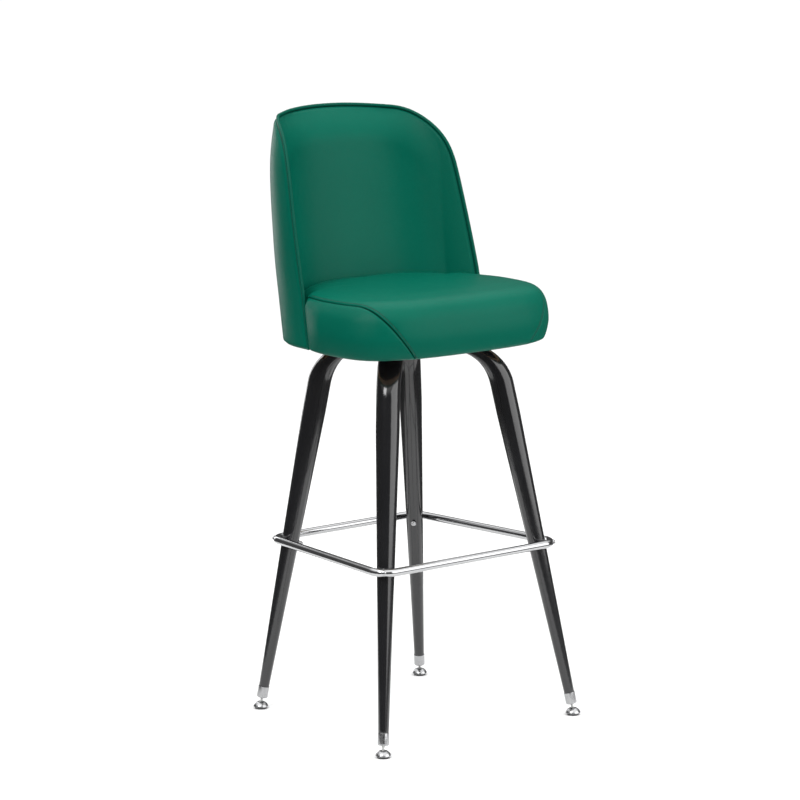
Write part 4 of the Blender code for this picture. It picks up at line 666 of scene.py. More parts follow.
# %% Make the feet
def turned_piece(name, node, side, profile, height, lean, body, slot, around=48, finish=None):
    """A profile turned about an axis that meets the leg's own axis at a height."""
    turn, reach = LEG_TURNS[side], leg_axis_reach(side, height)
    place = from_axis(np.array([reach * math.sin(turn), reach * math.cos(turn), height]))
    grid = revolved(profile, place, lean, turn, around)
    quads = grid_quads(grid, around=True)
    return new_piece(f"{name}_{side}", grid, quads, body, slot, [f"{node}_{side}"], finish=finish)


for side in SIDES:
    slope, stem, foot = LEG_SLOPE[side], f"stem_{side}", f"foot_{side}"
    for name, node, profile, lean, body, slot, *rest in (
        ("ferrule_sleeve", "ferrule", FERRULE_PROFILE, slope, "base", "chrome", 48, "satin_chrome"),
        ("levelling_screw", "glide_stem", STEM_PROFILE, slope, stem, "zinc_steel", SCREW_AROUND),
        ("foot_cup", "glide_cup", CUP_PROFILE, 0, foot, "chrome", 48, "satin_chrome"),
        ("foot_pad", "glide_pad", PAD_PROFILE, 0, foot, "glide_plastic"),
    ):
        turned_piece(name, node, side, profile, BALL_HEIGHT, lean, body, slot, *rest)
print("feet: 4 of ferrule, screw, cup and pad")

# %% [markdown]
# ## The footring
# A round chromed rod is bent into a square with rounded corners, butt-welded, and bolted through the
# legs from outside. Its middle line is four arcs, one about a point by each leg, joined by straights.

# %% Tubes along a path
def unit(vectors):
    return vectors / np.linalg.norm(vectors, axis=-1, keepdims=True)


def square_to(ways, along):
    """Unit vectors near the given ways and square to the line's own directions."""
    return unit(ways - along * (ways * along).sum(axis=1, keepdims=True))


def lengths_along(points):
    """Distance along rows of points to each of them, from 0."""
    steps = np.linalg.norm(np.diff(points, axis=-2), axis=-1)
    return np.concatenate([np.zeros((*steps.shape[:-1], 1)), np.cumsum(steps, axis=-1)], axis=-1)


def swept(path, radius, ahead, around=16, closed=False):
    """A tube: P(s, t) = path(s) + radius (cos t A + sin t B), with A across the path near ahead."""
    if closed:
        along = unit(np.roll(path, -1, axis=0) - np.roll(path, 1, axis=0))
    else:
        along = unit(np.gradient(path, axis=0))
    side = square_to(ahead, along)
    other = np.cross(along, side)
    turns = full_turn(around)[None, :, None]
    return path[:, None] + radius * (np.cos(turns) * side[:, None] + np.sin(turns) * other[:, None])


print("tube helpers ready")

# %% Footring
RING_HEIGHT = 0.3164
RING_TUBE_RADIUS = 0.0071
RING_CORNER_RADIUS = 0.030
RING_ARC_STEPS, RING_STRAIGHT_STEPS, RING_AROUND = 20, 26, 28
GAP = 0.0003


def ring_bolt_place(side):
    """Where the ring's bolt crosses the leg's axis, as (reach, height), and how far out the ring is."""
    out = leg_radius(side, RING_HEIGHT) + 2 * GAP + RING_TUBE_RADIUS
    height = RING_HEIGHT - out * math.sin(LEG_SLOPE[side])
    return leg_axis_reach(side, height), height, out


def ring_line():
    """Middle line of the ring: arcs P = centre + r (cos a, sin a), and straights between them."""
    centres = []
    for side, turn in LEG_TURNS.items():
        reach, _, out = ring_bolt_place(side)
        middle = reach + out * math.cos(LEG_SLOPE[side]) - RING_CORNER_RADIUS
        centres.append(np.array([math.sin(turn), math.cos(turn)]) * middle)
    arcs = []
    for number, centre in enumerate(centres):
        before = centre - centres[number - 1]
        after = centres[(number + 1) % len(centres)] - centre
        first, last = (math.atan2(-way[0], way[1]) for way in (before, after))
        bend = (last - first + math.pi) % (2 * math.pi) - math.pi
        angles = first + bend * np.linspace(0, 1, RING_ARC_STEPS)
        arcs.append(centre + RING_CORNER_RADIUS * np.column_stack([np.cos(angles), np.sin(angles)]))
    line = []
    for arc, following in zip(arcs, arcs[1:] + arcs[:1]):
        share = np.linspace(0, 1, RING_STRAIGHT_STEPS)[1:-1, None]
        line += [arc, between(arc[-1], following[0], share)]
    line = np.concatenate(line)
    return from_axis(np.column_stack([line, np.full(len(line), RING_HEIGHT)]))


line = ring_line()
grid = swept(line, RING_TUBE_RADIUS, np.tile([0.0, 0.0, 1.0], (len(line), 1)), RING_AROUND, closed=True)
quads = grid_quads(grid, around=True, closed=True)
new_piece("footring_rod", grid, quads, "base", "chrome", ["footring"])
print(f"footring: {lengths_along(line)[-1]:.2f} m of rod")

# %% Footring bolts and cap nuts
BOLT_HEAD_RADIUS, BOLT_HEAD_HEIGHT = 0.0045, 0.0028
BOLT_HEAD_SINK, BOLT_NECK_RADIUS = 0.0010, 0.0025
CAP_NUT_RADIUS, CAP_NUT_HEIGHT, CAP_NUT_FLATS = 0.0046, 0.0080, 0.0040
CAP_NUT_BORE, CAP_NUT_DOME = 0.0030, 0.0038
DOME_STEPS, FASTENER_AROUND = 12, 32
angle = np.linspace(math.pi / 2, 0, DOME_STEPS)
HEAD_DOME = np.column_stack([BOLT_HEAD_RADIUS * np.cos(angle), BOLT_HEAD_HEIGHT * np.sin(angle)])
HEAD_DOME[0, 0] = 0
dome_height = CAP_NUT_HEIGHT - CAP_NUT_FLATS
NUT_DOME = np.column_stack([CAP_NUT_DOME * np.cos(angle), -CAP_NUT_FLATS - dome_height * np.sin(angle)])[::-1]
NUT_DOME[-1, 0] = 0
NUT_FLATS = [(CAP_NUT_BORE, 0), (CAP_NUT_RADIUS, 0), (CAP_NUT_RADIUS, -CAP_NUT_FLATS)]

for side in SIDES:
    _, height, out = ring_bolt_place(side)
    lean = LEG_SLOPE[side] - math.pi / 2
    seated = out + RING_TUBE_RADIUS
    head = np.concatenate([HEAD_DOME + [0, seated], [(BOLT_NECK_RADIUS, seated - BOLT_HEAD_SINK)]])
    nut = np.concatenate([NUT_FLATS, NUT_DOME]) - [0, leg_radius(side, height) + GAP]
    for name, node, profile in (("ring_bolt_head", "ring_bolt", head), ("ring_nut", "cap_nut", nut)):
        turned_piece(name, node, side, profile, height, lean, "base", "chrome", FASTENER_AROUND)
print("footring bolts and cap nuts: 4 of each")

# %% [markdown]
# ## The back's outer face
# The back is a sheet of plywood bent to a U, padded on both sides. Its outer face is a stack of level
# sections, each half of a superellipse between the back's edge and its rear.

# %% Back sizes
SKIRT_HEIGHT = 0.6826
WING_FOOT_X, WING_FOOT_Y = 0.2014, 0.0067
WING_FOOT_SLOPE, WING_SLOPE = 0.16, 0.257
WING_SEAT_HEIGHT, WING_CORNER_HEIGHT = 0.7800, 0.9500
WING_CORNER_X, WING_X_POWER = 0.1920, 1.5
TOP_END_X, TOP_END_Y, TOP_END_HEIGHT = 0.1318, 0.1720, 1.0755
TOP_CORNER_POWER = 4.0
TOP_HEIGHT, TOP_MIDDLE_Y, TOP_EDGE_POWER = 1.0835, 0.2182, 1.15
BACK_REAR_FOOT, BACK_REAR_TOP, BACK_REAR_POWER = 0.1902, 0.2252, 2.2
BACK_TOP_SET, BACK_TOP_SET_RISE = 0.0070, 0.0560
BACK_PLAN_POWER, BACK_TOP_PLAN_POWER, BACK_TOP_PLAN_CLIMB = 2.3, 1.30, 3.0
BACK_CENTRE_Y = 0.0300
EASE_WIDTH = 0.0300
TABLE_WING_ROWS, TABLE_CORNER_STEPS, TABLE_TOP_STEPS = 60, 49, 60


def wing_y(height):
    """The wings' straight front edge, from the skirt up, and its line carried on above the corner."""
    above = np.maximum(height - WING_SEAT_HEIGHT, 0)
    below = np.minimum(height, WING_SEAT_HEIGHT) - SKIRT_HEIGHT
    return WING_FOOT_Y + WING_FOOT_SLOPE * below + WING_SLOPE * above


def back_edge(height):
    """(x, y) of the back's edge at each height: up the wing, round the corner and along the top."""
    share = share_of(height, WING_SEAT_HEIGHT, WING_CORNER_HEIGHT)
    wing_x = between(WING_FOOT_X, WING_CORNER_X, share**WING_X_POWER)
    rise = share_of(height, WING_CORNER_HEIGHT, TOP_END_HEIGHT)
    corner_x = between(TOP_END_X, WING_CORNER_X, np.sqrt(1 - rise**2))
    corner_y = wing_y(height) + (TOP_END_Y - wing_y(TOP_END_HEIGHT)) * rise**TOP_CORNER_POWER
    along = np.sqrt(1 - share_of(height, TOP_END_HEIGHT, TOP_HEIGHT))
    bow = (1 - along**BACK_PLAN_POWER) ** (1 / TOP_EDGE_POWER)
    top = height >= TOP_END_HEIGHT
    x = np.where(height <= WING_CORNER_HEIGHT, wing_x, np.where(top, TOP_END_X * along, corner_x))
    y = np.where(top, between(TOP_END_Y, TOP_MIDDLE_Y, bow), corner_y)
    return x, y


def rear_line(height):
    """How far behind the swivel axis the outer face lies at its middle."""
    turned_in = np.maximum(height - TOP_HEIGHT + BACK_TOP_SET_RISE, 0) / BACK_TOP_SET_RISE
    bend = 1 - (1 - share_of(height, SKIRT_HEIGHT, TOP_HEIGHT)) ** BACK_REAR_POWER
    return between(BACK_REAR_FOOT, BACK_REAR_TOP, bend) - BACK_TOP_SET * turned_in**2


print(f"back: {TOP_HEIGHT - SKIRT_HEIGHT:.3f} m high")


# %% Reading lines and tables
def read_along(values, runs, places):
    """Rows of values that are known at runs along a line, read at other places along it."""
    return np.column_stack([np.interp(places, runs, column) for column in values.T])


def evenly(curve, count):
    """A curve's points at equal steps of length."""
    runs = lengths_along(curve)
    return read_along(curve, runs, np.linspace(0, runs[-1], count))


def look_up(table, row, column):
    """A table of points, read at whole or part rows and columns: bilinear."""
    low = np.minimum(row.astype(int), table.shape[0] - 2)
    left = np.minimum(column.astype(int), table.shape[1] - 2)
    up, over = (row - low)[..., None], (column - left)[..., None]
    below = table[low, left] * (1 - over) + table[low, left + 1] * over
    above = table[low + 1, left] * (1 - over) + table[low + 1, left + 1] * over
    return below * (1 - up) + above * up


def eased_line(line, width, times=3, count=1400):
    """A running mean along a line, taken a few times, with its ends carried on straight."""
    runs = lengths_along(line)
    places = np.linspace(0, runs[-1], count)
    even = read_along(line, runs, places)
    half = int(width / runs[-1] * count / 2)
    window = np.ones(2 * half + 1) / (2 * half + 1)
    for _ in range(times):
        long = np.concatenate([2 * even[0] - even[half:0:-1], even, 2 * even[-1] - even[-2 : -half - 2 : -1]])
        even = np.column_stack([np.convolve(column, window, mode="valid") for column in long.T])
    return read_along(even, places, runs)


print("line and table helpers ready")


# %% The table of sections
def section_table(heights, samples=400, kept=260):
    """(points at equal shares of length, length) of the right half of each section.

    x = X sin(t)^(2/p), y = Ye + (Ym - Ye) cos(t)^(2/q), from the rear's middle to the edge. The power
    q falls towards the top, where the plan is one smooth bow.
    """
    plan = np.stack(back_edge(heights), axis=-1)
    plan = eased_line(np.concatenate([plan, plan[-2::-1] * [-1, 1]]), EASE_WIDTH, times=2)[: len(heights)]
    edge_x, edge_y = plan[:, :1], plan[:, 1:]
    change = share_of(heights, WING_CORNER_HEIGHT, TOP_HEIGHT)[:, None] ** BACK_TOP_PLAN_CLIMB
    power = between(BACK_PLAN_POWER, BACK_TOP_PLAN_POWER, change)
    turns = np.linspace(0, math.pi / 2, samples)[None]
    x = edge_x * np.sin(turns) ** (2 / BACK_PLAN_POWER)
    y = between(edge_y, rear_line(heights)[:, None], np.clip(np.cos(turns), 0, 1) ** (2 / power))
    section = np.stack([x, y], axis=-1)
    runs = lengths_along(section)
    shares = np.linspace(0, 1, kept)
    rows = [read_along(row, run, shares * run[-1]) for run, row in zip(runs, section)]
    return np.array(rows), runs[:, -1]


def back_heights(wing_rows, corner_steps, top_steps):
    """Heights up the wing, round the corner and along the crown, close together near the top."""
    wing = np.linspace(SKIRT_HEIGHT, WING_CORNER_HEIGHT, wing_rows)
    turns = np.radians(np.linspace(0, 90, corner_steps + 1)[1:])
    shares = np.linspace(1, 0, top_steps)[1:]
    corner = between(WING_CORNER_HEIGHT, TOP_END_HEIGHT, np.sin(turns))
    return np.concatenate([wing, corner, between(TOP_END_HEIGHT, TOP_HEIGHT, 1 - shares**2)])


TABLE_HEIGHTS = back_heights(TABLE_WING_ROWS, TABLE_CORNER_STEPS, TABLE_TOP_STEPS)
SECTIONS, SECTION_LENGTHS = section_table(TABLE_HEIGHTS)


print("back's table:", SECTIONS.shape[0], "heights by", SECTIONS.shape[1], "points")


# %% Points of the back
def section_length(height):
    return np.interp(height, TABLE_HEIGHTS, SECTION_LENGTHS)


def on_back(run, height, depth=0.0):
    """Points of the back: the signed run round from the rear's middle, the height and the depth in.

    Depth is measured level, towards an upright line in the middle of the seat.
    """
    row = np.interp(height, TABLE_HEIGHTS, np.arange(len(TABLE_HEIGHTS)))
    length = np.maximum(section_length(height), 1e-9)
    column = np.clip(np.abs(run) / length, 0, 1) * (SECTIONS.shape[1] - 1)
    plan = look_up(SECTIONS, row, column)
    inward = plan - np.array([0, BACK_CENTRE_Y])
    plan = plan - inward / np.linalg.norm(inward, axis=-1, keepdims=True) * np.asarray(depth)[..., None]
    sign = np.where(run < 0, -1, 1)
    return np.stack([plan[..., 0] * sign, plan[..., 1], height + 0 * plan[..., 0]], axis=-1)


print(f"back: outline {2 * section_length(WING_SEAT_HEIGHT):.3f} m round at the seat's height")

# %% [markdown]
# ## A net that follows the back's edge
# Folds and rolls near an edge need rows that run along it. So the net has loops at set distances
# inside the edge, close together where the cover rolls over, and a patch of even cells inside them.

# %% Loops and the patch inside them
WING_ROWS, CORNER_STEPS, CORNER_KEPT, TOP_STEPS = 64, 30, 16, 56
PATCH_CLIMB_POWER = 1.3
EDGE_HEIGHTS = back_heights(WING_ROWS, CORNER_STEPS, TOP_STEPS)
HALF_EDGE = np.column_stack([section_length(EDGE_HEIGHTS), EDGE_HEIGHTS])
HALF_EDGE[-1, 0] = 0
EDGE = eased_line(np.concatenate([HALF_EDGE[:-1] * [-1, 1], HALF_EDGE[::-1]]), EASE_WIDTH)


def edge_loop(distance):
    """The edge moved inwards in the (run, height) plane; on the wings its points keep their heights."""
    along = unit(np.gradient(EDGE, axis=0))
    inward = np.stack([along[:, 1], -along[:, 0]], axis=-1)
    for rows, side in ((slice(0, WING_ROWS), 1), (slice(-WING_ROWS, None), -1)):
        inward[rows] = np.stack([side / np.abs(inward[rows, 0]), np.zeros(WING_ROWS)], axis=-1)
    return EDGE + inward * distance


def inner_patch(loop):
    """A Coons patch inside a loop: sides + ends - corners, with level rows low down."""
    rows = WING_ROWS + CORNER_KEPT
    left, right = loop[:rows], loop[::-1][:rows]
    top = loop[rows - 1 : len(loop) - rows + 1]
    across = np.linspace(0, 1, len(top))[None, :, None]
    foot = between(left[0], right[0], across[0])
    climb = share_of(left[:, 1], WING_SEAT_HEIGHT, left[-1, 1])
    up = climb[:, None, None] ** PATCH_CLIMB_POWER
    sides = between(left[:, None], right[:, None], across)
    corners = between(between(left[0], right[0], across), between(left[-1], right[-1], across), up)
    return sides + between(foot[None], top[None], up) - corners


print("back's edge:", len(EDGE), "points")


# %% The back's net
def back_net(distances):
    """(points as (run, height), distance from the edge of each, quads) of loops and the patch inside."""
    loops = np.array([edge_loop(distance) for distance in distances])
    patch = inner_patch(loops[-1])
    rows, columns = patch.shape[:2]
    index = np.arange(loops.shape[0] * loops.shape[1]).reshape(loops.shape[:2])
    grid = np.empty((rows, columns), int)
    grid[:, 0], grid[:, -1] = index[-1][:rows], index[-1][::-1][:rows]
    grid[-1] = index[-1][rows - 1 : rows - 1 + columns]
    grid[:-1, 1:-1] = index.size + np.arange((rows - 1) * (columns - 2)).reshape(rows - 1, -1)
    points = np.concatenate([loops.reshape(-1, 2), patch[:-1, 1:-1].reshape(-1, 2)])
    inside = np.full((rows - 1) * (columns - 2), distances[-1])
    strip = np.stack([index[:-1, :-1], index[:-1, 1:], index[1:, 1:], index[1:, :-1]], axis=-1)
    inner = np.stack([grid[:-1, :-1], grid[1:, :-1], grid[1:, 1:], grid[:-1, 1:]], axis=-1)
    quads = np.concatenate([strip.reshape(-1, 4), inner.reshape(-1, 4)])
    return points, np.concatenate([np.repeat(distances, loops.shape[1]), inside]), quads


print("back net helper ready")

# %% [markdown]
# ## The back's covers
# Inside, the wall is thick at its middle and thin at the wings, and its foam swells to a roll along
# the edge. The cover is pulled over it and sewn to the outer cover, with a piping between them. The
# slow swells of foam under a tight cover are a sum of a few long waves, under a millimetre high.

# %% Depth of the back
BACK_DEPTH_SEAT, BACK_DEPTH_TOP, BACK_DEPTH_WING = 0.0600, 0.0360, 0.0240
BACK_DEPTH_RISE_POWER, BACK_DEPTH_SIDE_POWER, BACK_DEPTH_MIDDLE_SHARE = 0.45, 2.2, 0.80
BACK_EDGE_DEPTH, BACK_EDGE_ROLL, BACK_EASE_WIDTH = 0.0072, 0.0050, 0.0620
BACK_OUTER_ROLL, BACK_OUTER_ROLL_DEPTH = 0.0090, 0.0030
SHELL_FACE, SHELL_THICKNESS, SHELL_INSET = 0.0056, 0.0060, 0.0220
SHELL_RING = 0.0040
COVER = 0.0020
COVER_WALL = 0.0012
HEM_RADIUS, HEM_TUCK = 0.0060, 0.0045
EDGE_MARKS = 900


def roll_share(distances, width):
    """sqrt(1 - (1 - d / w)^2): 0 on the edge, 1 from the roll's width inwards."""
    return np.sqrt(1 - np.clip(1 - distances / width, 0, 1) ** 2)


def from_edge(points):
    """Distance of each point of the patch from the nearest of EDGE_MARKS points along the edge."""
    return np.linalg.norm(points[:, None] - evenly(EDGE, EDGE_MARKS)[None], axis=-1).min(axis=1)


def wall_depth(run, height, distance):
    """e roll(d) + (D - e) (1 - (1 - d / w)^2): a tight roll at the edge, then an easy slope to full depth."""
    ease = 1 - (1 - np.clip(distance / BACK_EASE_WIDTH, 0, 1)) ** 2
    inner = (back_depth(run, height) - BACK_EDGE_DEPTH) * ease
    return BACK_EDGE_DEPTH * roll_share(distance, BACK_EDGE_ROLL) + inner


def back_depth(run, height):
    """Thickness of the back's wall."""
    share = np.abs(run) / section_length(WING_SEAT_HEIGHT)
    low = share_of(height, TOP_HEIGHT, WING_SEAT_HEIGHT)
    middle = between(BACK_DEPTH_TOP, BACK_DEPTH_SEAT, low**BACK_DEPTH_RISE_POWER)
    side = np.clip(share / BACK_DEPTH_MIDDLE_SHARE, 0, 1) ** BACK_DEPTH_SIDE_POWER
    return between(middle, BACK_DEPTH_WING, side)


def swell(a, b, seed):
    """Sum of five long sine waves over two lengths, from -1 to 1: the unevenness of soft padding."""
    waves = np.random.default_rng(seed).uniform([12, 12, 0], [48, 48, 2 * math.pi], (5, 3))
    turns = [np.sin(x * a + y * b + shift) for x, y, shift in waves]
    return sum(turns) / len(turns)


def hem(height):
    """How far a cover turns in at the skirt: a quarter circle of HEM_RADIUS."""
    return HEM_TUCK * (1 - roll_share(height - SKIRT_HEIGHT, HEM_RADIUS))


print(f"back wall: {wall_depth(0, WING_SEAT_HEIGHT, 1) * 1000:.0f} mm thick at the seat's height")

# %% The line of the piping
WELT_RADIUS, WELT_AHEAD = 0.0030, 0.0038
WELT_SET, AHEAD_SET = 0.0006, 0.0150
WELT_STEPS, WELT_EASINGS = 640, 10

edge_points = on_back(*edge_loop(WELT_SET).T, WELT_RADIUS)
ahead = edge_points - on_back(*edge_loop(AHEAD_SET).T, WELT_RADIUS)
ahead = square_to(ahead, unit(np.gradient(edge_points, axis=0)))
inward = unit(on_back(*edge_loop(WELT_SET).T, 2 * WELT_RADIUS) - edge_points)
welt_line = edge_points + ahead * WELT_AHEAD
edge_runs = lengths_along(welt_line)
steps = np.linspace(0, edge_runs[-1], WELT_STEPS)
welt_line = read_along(welt_line, edge_runs, steps)
for _ in range(WELT_EASINGS):
    welt_line[1:-1] = (welt_line[:-2] + welt_line[1:-1] + welt_line[2:]) / 3
seam_centre = read_along(welt_line, steps, edge_runs)
print(f"piping: {edge_runs[-1]:.2f} m")

# %% Cover helpers
FLANGE_SHORT, FLANGE_GAP = 0.0014, 0.0007


def with_flange(points, quads, inwards):
    """Joins the net's first loop to a row inside the piping, so that the seam is closed."""
    rim = seam_centre - ahead * FLANGE_SHORT + inward * inwards
    first = np.arange(len(rim))
    outer = len(points) + first
    strip = np.stack([outer[:-1], outer[1:], first[1:], first[:-1]], axis=-1)
    return np.concatenate([points, rim]), np.concatenate([quads, strip])


def hump(offset, width):
    """exp(-(x / w)^2): 1 at 0, dying away over a width."""
    return np.exp(-((offset / width) ** 2))


def uneven_wave(place, rate, wander, drift):
    """sin(rate x + wander sin(drift x)): a wave whose pitch isn't quite even."""
    return np.sin(rate * place + wander * np.sin(drift * place))


def cover_piece(name, points, quads, replaced, painted_shade):
    """An open sheet of vinyl on the seat's body. Its values of painted shade darken its seams."""
    points = from_axis(points)
    return new_piece(name, points, quads, "seat", "vinyl", replaced, tidy=False, painted_shade=painted_shade)


print("cover helpers ready")

# %% Make the covers
NET_DISTANCES = np.array([0.2, 0.6, 1.2, 2.0, 3.0, 4.2, 5.6, 7.5, 10.0, 13.0, 16.5, 20.0]) / 1000
EDGE_EASE, PAINTED_SHADE_WIDTH = 0.0200, 0.0011
PUCKER_PITCH, PUCKER_PLACE, PUCKER_WIDTH = 0.0230, 0.0070, 0.0050
INNER_SWELL, OUTER_SWELL = 0.00090, 0.00045
INNER_PUCKER, OUTER_PUCKER = 0.00022, 0.00010
LEAST_DEPTH = 0.0034

net, distance, quads = back_net(NET_DISTANCES)
run, height = net.T
in_patch = distance >= NET_DISTANCES[-1]
distance[in_patch] = np.maximum(from_edge(net[in_patch]), NET_DISTANCES[-1])
edge_ease = np.clip(distance / EDGE_EASE, 0, 1)
pull = uneven_wave(run, 2 * math.pi / PUCKER_PITCH, 3, 31)
puckers = pull * hump(distance - PUCKER_PLACE, PUCKER_WIDTH)
inner_depth = wall_depth(run, height, distance) + INNER_SWELL * swell(run, height, 3) * edge_ease
inner_depth = np.maximum(inner_depth + INNER_PUCKER * puckers, LEAST_DEPTH)
points, faces = with_flange(on_back(run, height, inner_depth), quads, FLANGE_GAP)
# Painted shade: dark along the seam by the piping, and full on the flange row inside it.
painted_shade = np.concatenate([hump(distance, PAINTED_SHADE_WIDTH), np.ones(len(EDGE))])
replaced = ["back_inside_cover", "back_foam"]
inside = cover_piece("back_cover_inside", points, faces[:, [0, 3, 2, 1]], replaced, painted_shade)
walled(inside, COVER_WALL)

outer_depth = BACK_OUTER_ROLL_DEPTH * (1 - roll_share(distance, BACK_OUTER_ROLL)) + hem(height)
outer_depth += OUTER_SWELL * (1 + swell(run, height, 8)) * edge_ease + OUTER_PUCKER * (1 + puckers)
points, faces = with_flange(on_back(run, height, outer_depth), quads, -FLANGE_GAP)
outside = cover_piece("back_cover_outside", points, faces, ["back_outside_cover", "back_wadding"], painted_shade)
walled(outside, COVER_WALL)
print("back covers:", len(quads), "faces each")

# %% The bent board inside the back
net, _, board_quads = back_net(np.array([SHELL_INSET, SHELL_INSET + SHELL_RING]))
board_points = from_axis(on_back(*net.T, SHELL_FACE))
board = new_piece("back_board", board_points, board_quads, "seat", "plywood", ["back_shell"], tidy=False)
walled(board, SHELL_THICKNESS)
print("back board:", len(board_quads), "faces")

# %% [markdown]
# ## The piping
# A cord wrapped in a strip of the same vinyl is sewn into the seam. It is a tube carried along the
# back's edge, pushed a little ahead of it. The strip gathers slightly round the corners, so the
# tube's radius goes up and down by a hair. Its colour is darkened as painted shade, for the line of
# shadow along the seam's top.

# %% Make the piping
def with_caps(points, quads):
    """Closes both ends of a tube's grid with a fan to the middle of each end row."""
    rows, columns = points.shape[:2]
    ring, faces = np.arange(columns), quads.tolist()
    for number, start in enumerate((0, (rows - 1) * columns)):
        middle = np.full(columns, rows * columns + number)
        faces += np.column_stack([start + ring, start + np.roll(ring, -1), middle]).tolist()
    return np.concatenate([points.reshape(-1, 3), points[[0, -1]].mean(axis=1)]), faces


GATHER_SHARE, GATHER_PITCH, PIPING_AROUND = 0.012, 0.0095, 20
PULLED_SHARE, PIPING_END_LIFT, PIPING_PAINTED_SHADE = 0.985, 0.0004, 0.35

gather = 1 + GATHER_SHARE * uneven_wave(steps, 2 * math.pi / GATHER_PITCH, 2, 23)
welt_line[[0, -1], 2] += PIPING_END_LIFT
welt_grid = swept(welt_line, WELT_RADIUS, read_along(ahead, edge_runs, steps), PIPING_AROUND)
welt_grid = welt_line[:, None] + (welt_grid - welt_line[:, None]) * (gather * PULLED_SHARE)[:, None, None]
points, faces = with_caps(from_axis(welt_grid), grid_quads(welt_grid, around=True))
# Painted shade over the whole piping, for the dark line along the seam's top.
shaded = np.full(len(points), PIPING_PAINTED_SHADE)
new_piece("back_piping", points, faces, "seat", "vinyl", ["back_welt"], painted_shade=shaded)
print("piping:", len(faces), "faces")

# %% [markdown]
# ## The seat's form
# The seat's cushion bulges at its sides, rolls over at its top edge and is gently crowned. A profile
# gives how far the side stands out at each run up it, and an outline gives the plan: a rounded front,
# sides that narrow to the wings, a step in behind them and a rear that follows the back. The form is
# kept as a table of points, runs up the side by columns round it, with its outward directions.

# %% Seat sizes
SEAT_HALF_WIDTH, SEAT_REACH, SEAT_WIDEST_Y = 0.2175, 0.2145, -0.0600
SEAT_FRONT_POWER, SEAT_SIDE_POWER = 3.3, 1.6
SEAT_WAIST_X = 0.2040
SEAT_TUCK = ((0.0060, 0.0042), (0.0240, 0.0100))
SEAT_TUCK_RUN, SEAT_TUCK_FOOT, SEAT_BACK_GAP = 0.0140, 0.7600, 0.0035
SEAT_CROWN_HEIGHT, SEAT_CENTRE_Y, SEAT_CROWN_POWER = 0.7890, -0.0400, 6.0
WING_CLEARANCE = WELT_AHEAD + WELT_RADIUS + COVER / 2
SEAT_ROWS = (
    (0.0180, 0.6826),
    (0.0055, 0.6830),
    (-0.0010, 0.6900),
    (-0.0068, 0.7180),
    (-0.0042, 0.7480),
    (0.0024, 0.7650),
    (0.0110, 0.7750),
    (0.0260, 0.7820),
    (0.0550, 0.7862),
)
FRONT_COLUMNS, SIDE_COLUMNS, TUCK_COLUMNS, REAR_COLUMNS = 110, 24, 18, 60
PROFILE_STEPS, BEND_STEPS, OUTLINE_SAMPLES, TABLE_ROWS = 24, 6, 1500, 110
print(f"seat: {2 * SEAT_HALF_WIDTH * 1000:.0f} mm wide")


# %% The seat's side
def through(keys, steps):
    """A Catmull-Rom curve through key points, steps samples between each two."""
    keys = np.asarray(keys, float)
    ends = np.concatenate([[2 * keys[0] - keys[1]], keys, [2 * keys[-1] - keys[-2]]])
    part = np.arange(steps)[:, None] / steps
    pieces = []
    for before, first, second, after in zip(ends, ends[1:], ends[2:], ends[3:]):
        square = 2 * before - 5 * first + 4 * second - after
        cube = 3 * first - before - 3 * second + after
        pieces.append((2 * first + (second - before) * part + square * part**2 + cube * part**3) / 2)
    return np.concatenate([*pieces, keys[-1:]])


PROFILE = through(SEAT_ROWS, PROFILE_STEPS)
PROFILE_RUNS = lengths_along(PROFILE)
SIDE_RUN, FOOT_RUN = PROFILE_RUNS[-1], PROFILE_RUNS[PROFILE_STEPS]


def run_of_height(height):
    """The run up the seat's side at which it has a height."""
    return np.interp(height, PROFILE[PROFILE_STEPS:, 1], PROFILE_RUNS[PROFILE_STEPS:])


def profile_at(run):
    """(inset, height) of the seat's side at a run up it."""
    return read_along(PROFILE, PROFILE_RUNS, [run])[0]


print(f"seat: side {SIDE_RUN * 1000:.0f} mm round")


# %% The seat's half outline
def front_half(inset):
    """From the front's middle to the widest place: a quarter of a superellipse."""
    turns = np.linspace(0, math.pi / 2, OUTLINE_SAMPLES)
    reach = SEAT_REACH + SEAT_WIDEST_Y - inset
    x = (SEAT_HALF_WIDTH - inset) * np.sin(turns) ** (2 / SEAT_FRONT_POWER)
    y = SEAT_WIDEST_Y - reach * np.clip(np.cos(turns), 0, 1) ** (2 / SEAT_FRONT_POWER)
    return evenly(np.column_stack([x, y]), FRONT_COLUMNS)


def seat_half(run, depth):
    """The seat's right half at a run up its side and a depth in: front, side, step in and rear."""
    inset, height = profile_at(run)
    slope = profile_at(min(run + COVER, SIDE_RUN)) - profile_at(max(run - COVER, 0))
    level_depth = depth * slope[1] / math.hypot(*slope)
    height -= depth * slope[0] / math.hypot(*slope)
    front = front_half(inset + level_depth)
    drawn_in = max(inset, 0) + level_depth
    wing = float(wing_y(np.maximum(height, SKIRT_HEIGHT))) - WING_CLEARANCE - level_depth
    share = np.linspace(0, 1, SIDE_COLUMNS + 1)[1:]
    side_x = between(front[-1, 0], SEAT_WAIST_X - drawn_in, share**SEAT_SIDE_POWER)
    side = np.column_stack([side_x, between(SEAT_WIDEST_Y, wing, share)])
    rear_run = (section_length(height) - SEAT_TUCK_RUN) * np.linspace(1, 0, REAR_COLUMNS)
    level = np.full(REAR_COLUMNS, height)
    rear = on_back(rear_run, level, back_depth(rear_run, level) + SEAT_BACK_GAP + drawn_in)[:, :2]
    rear[-1, 0] = 0
    tuck = side[-1] + np.array(SEAT_TUCK) * [-1, 1]
    bend = through([side[-5], side[-1], *tuck, rear[0], rear[4]], BEND_STEPS)
    bend = bend[BEND_STEPS + 1 : 4 * BEND_STEPS]
    plan = np.concatenate([front, side, bend, rear])
    return np.column_stack([plan, np.full(len(plan), height)])


print("seat's half outline:", len(seat_half(FOOT_RUN, 0)), "points")

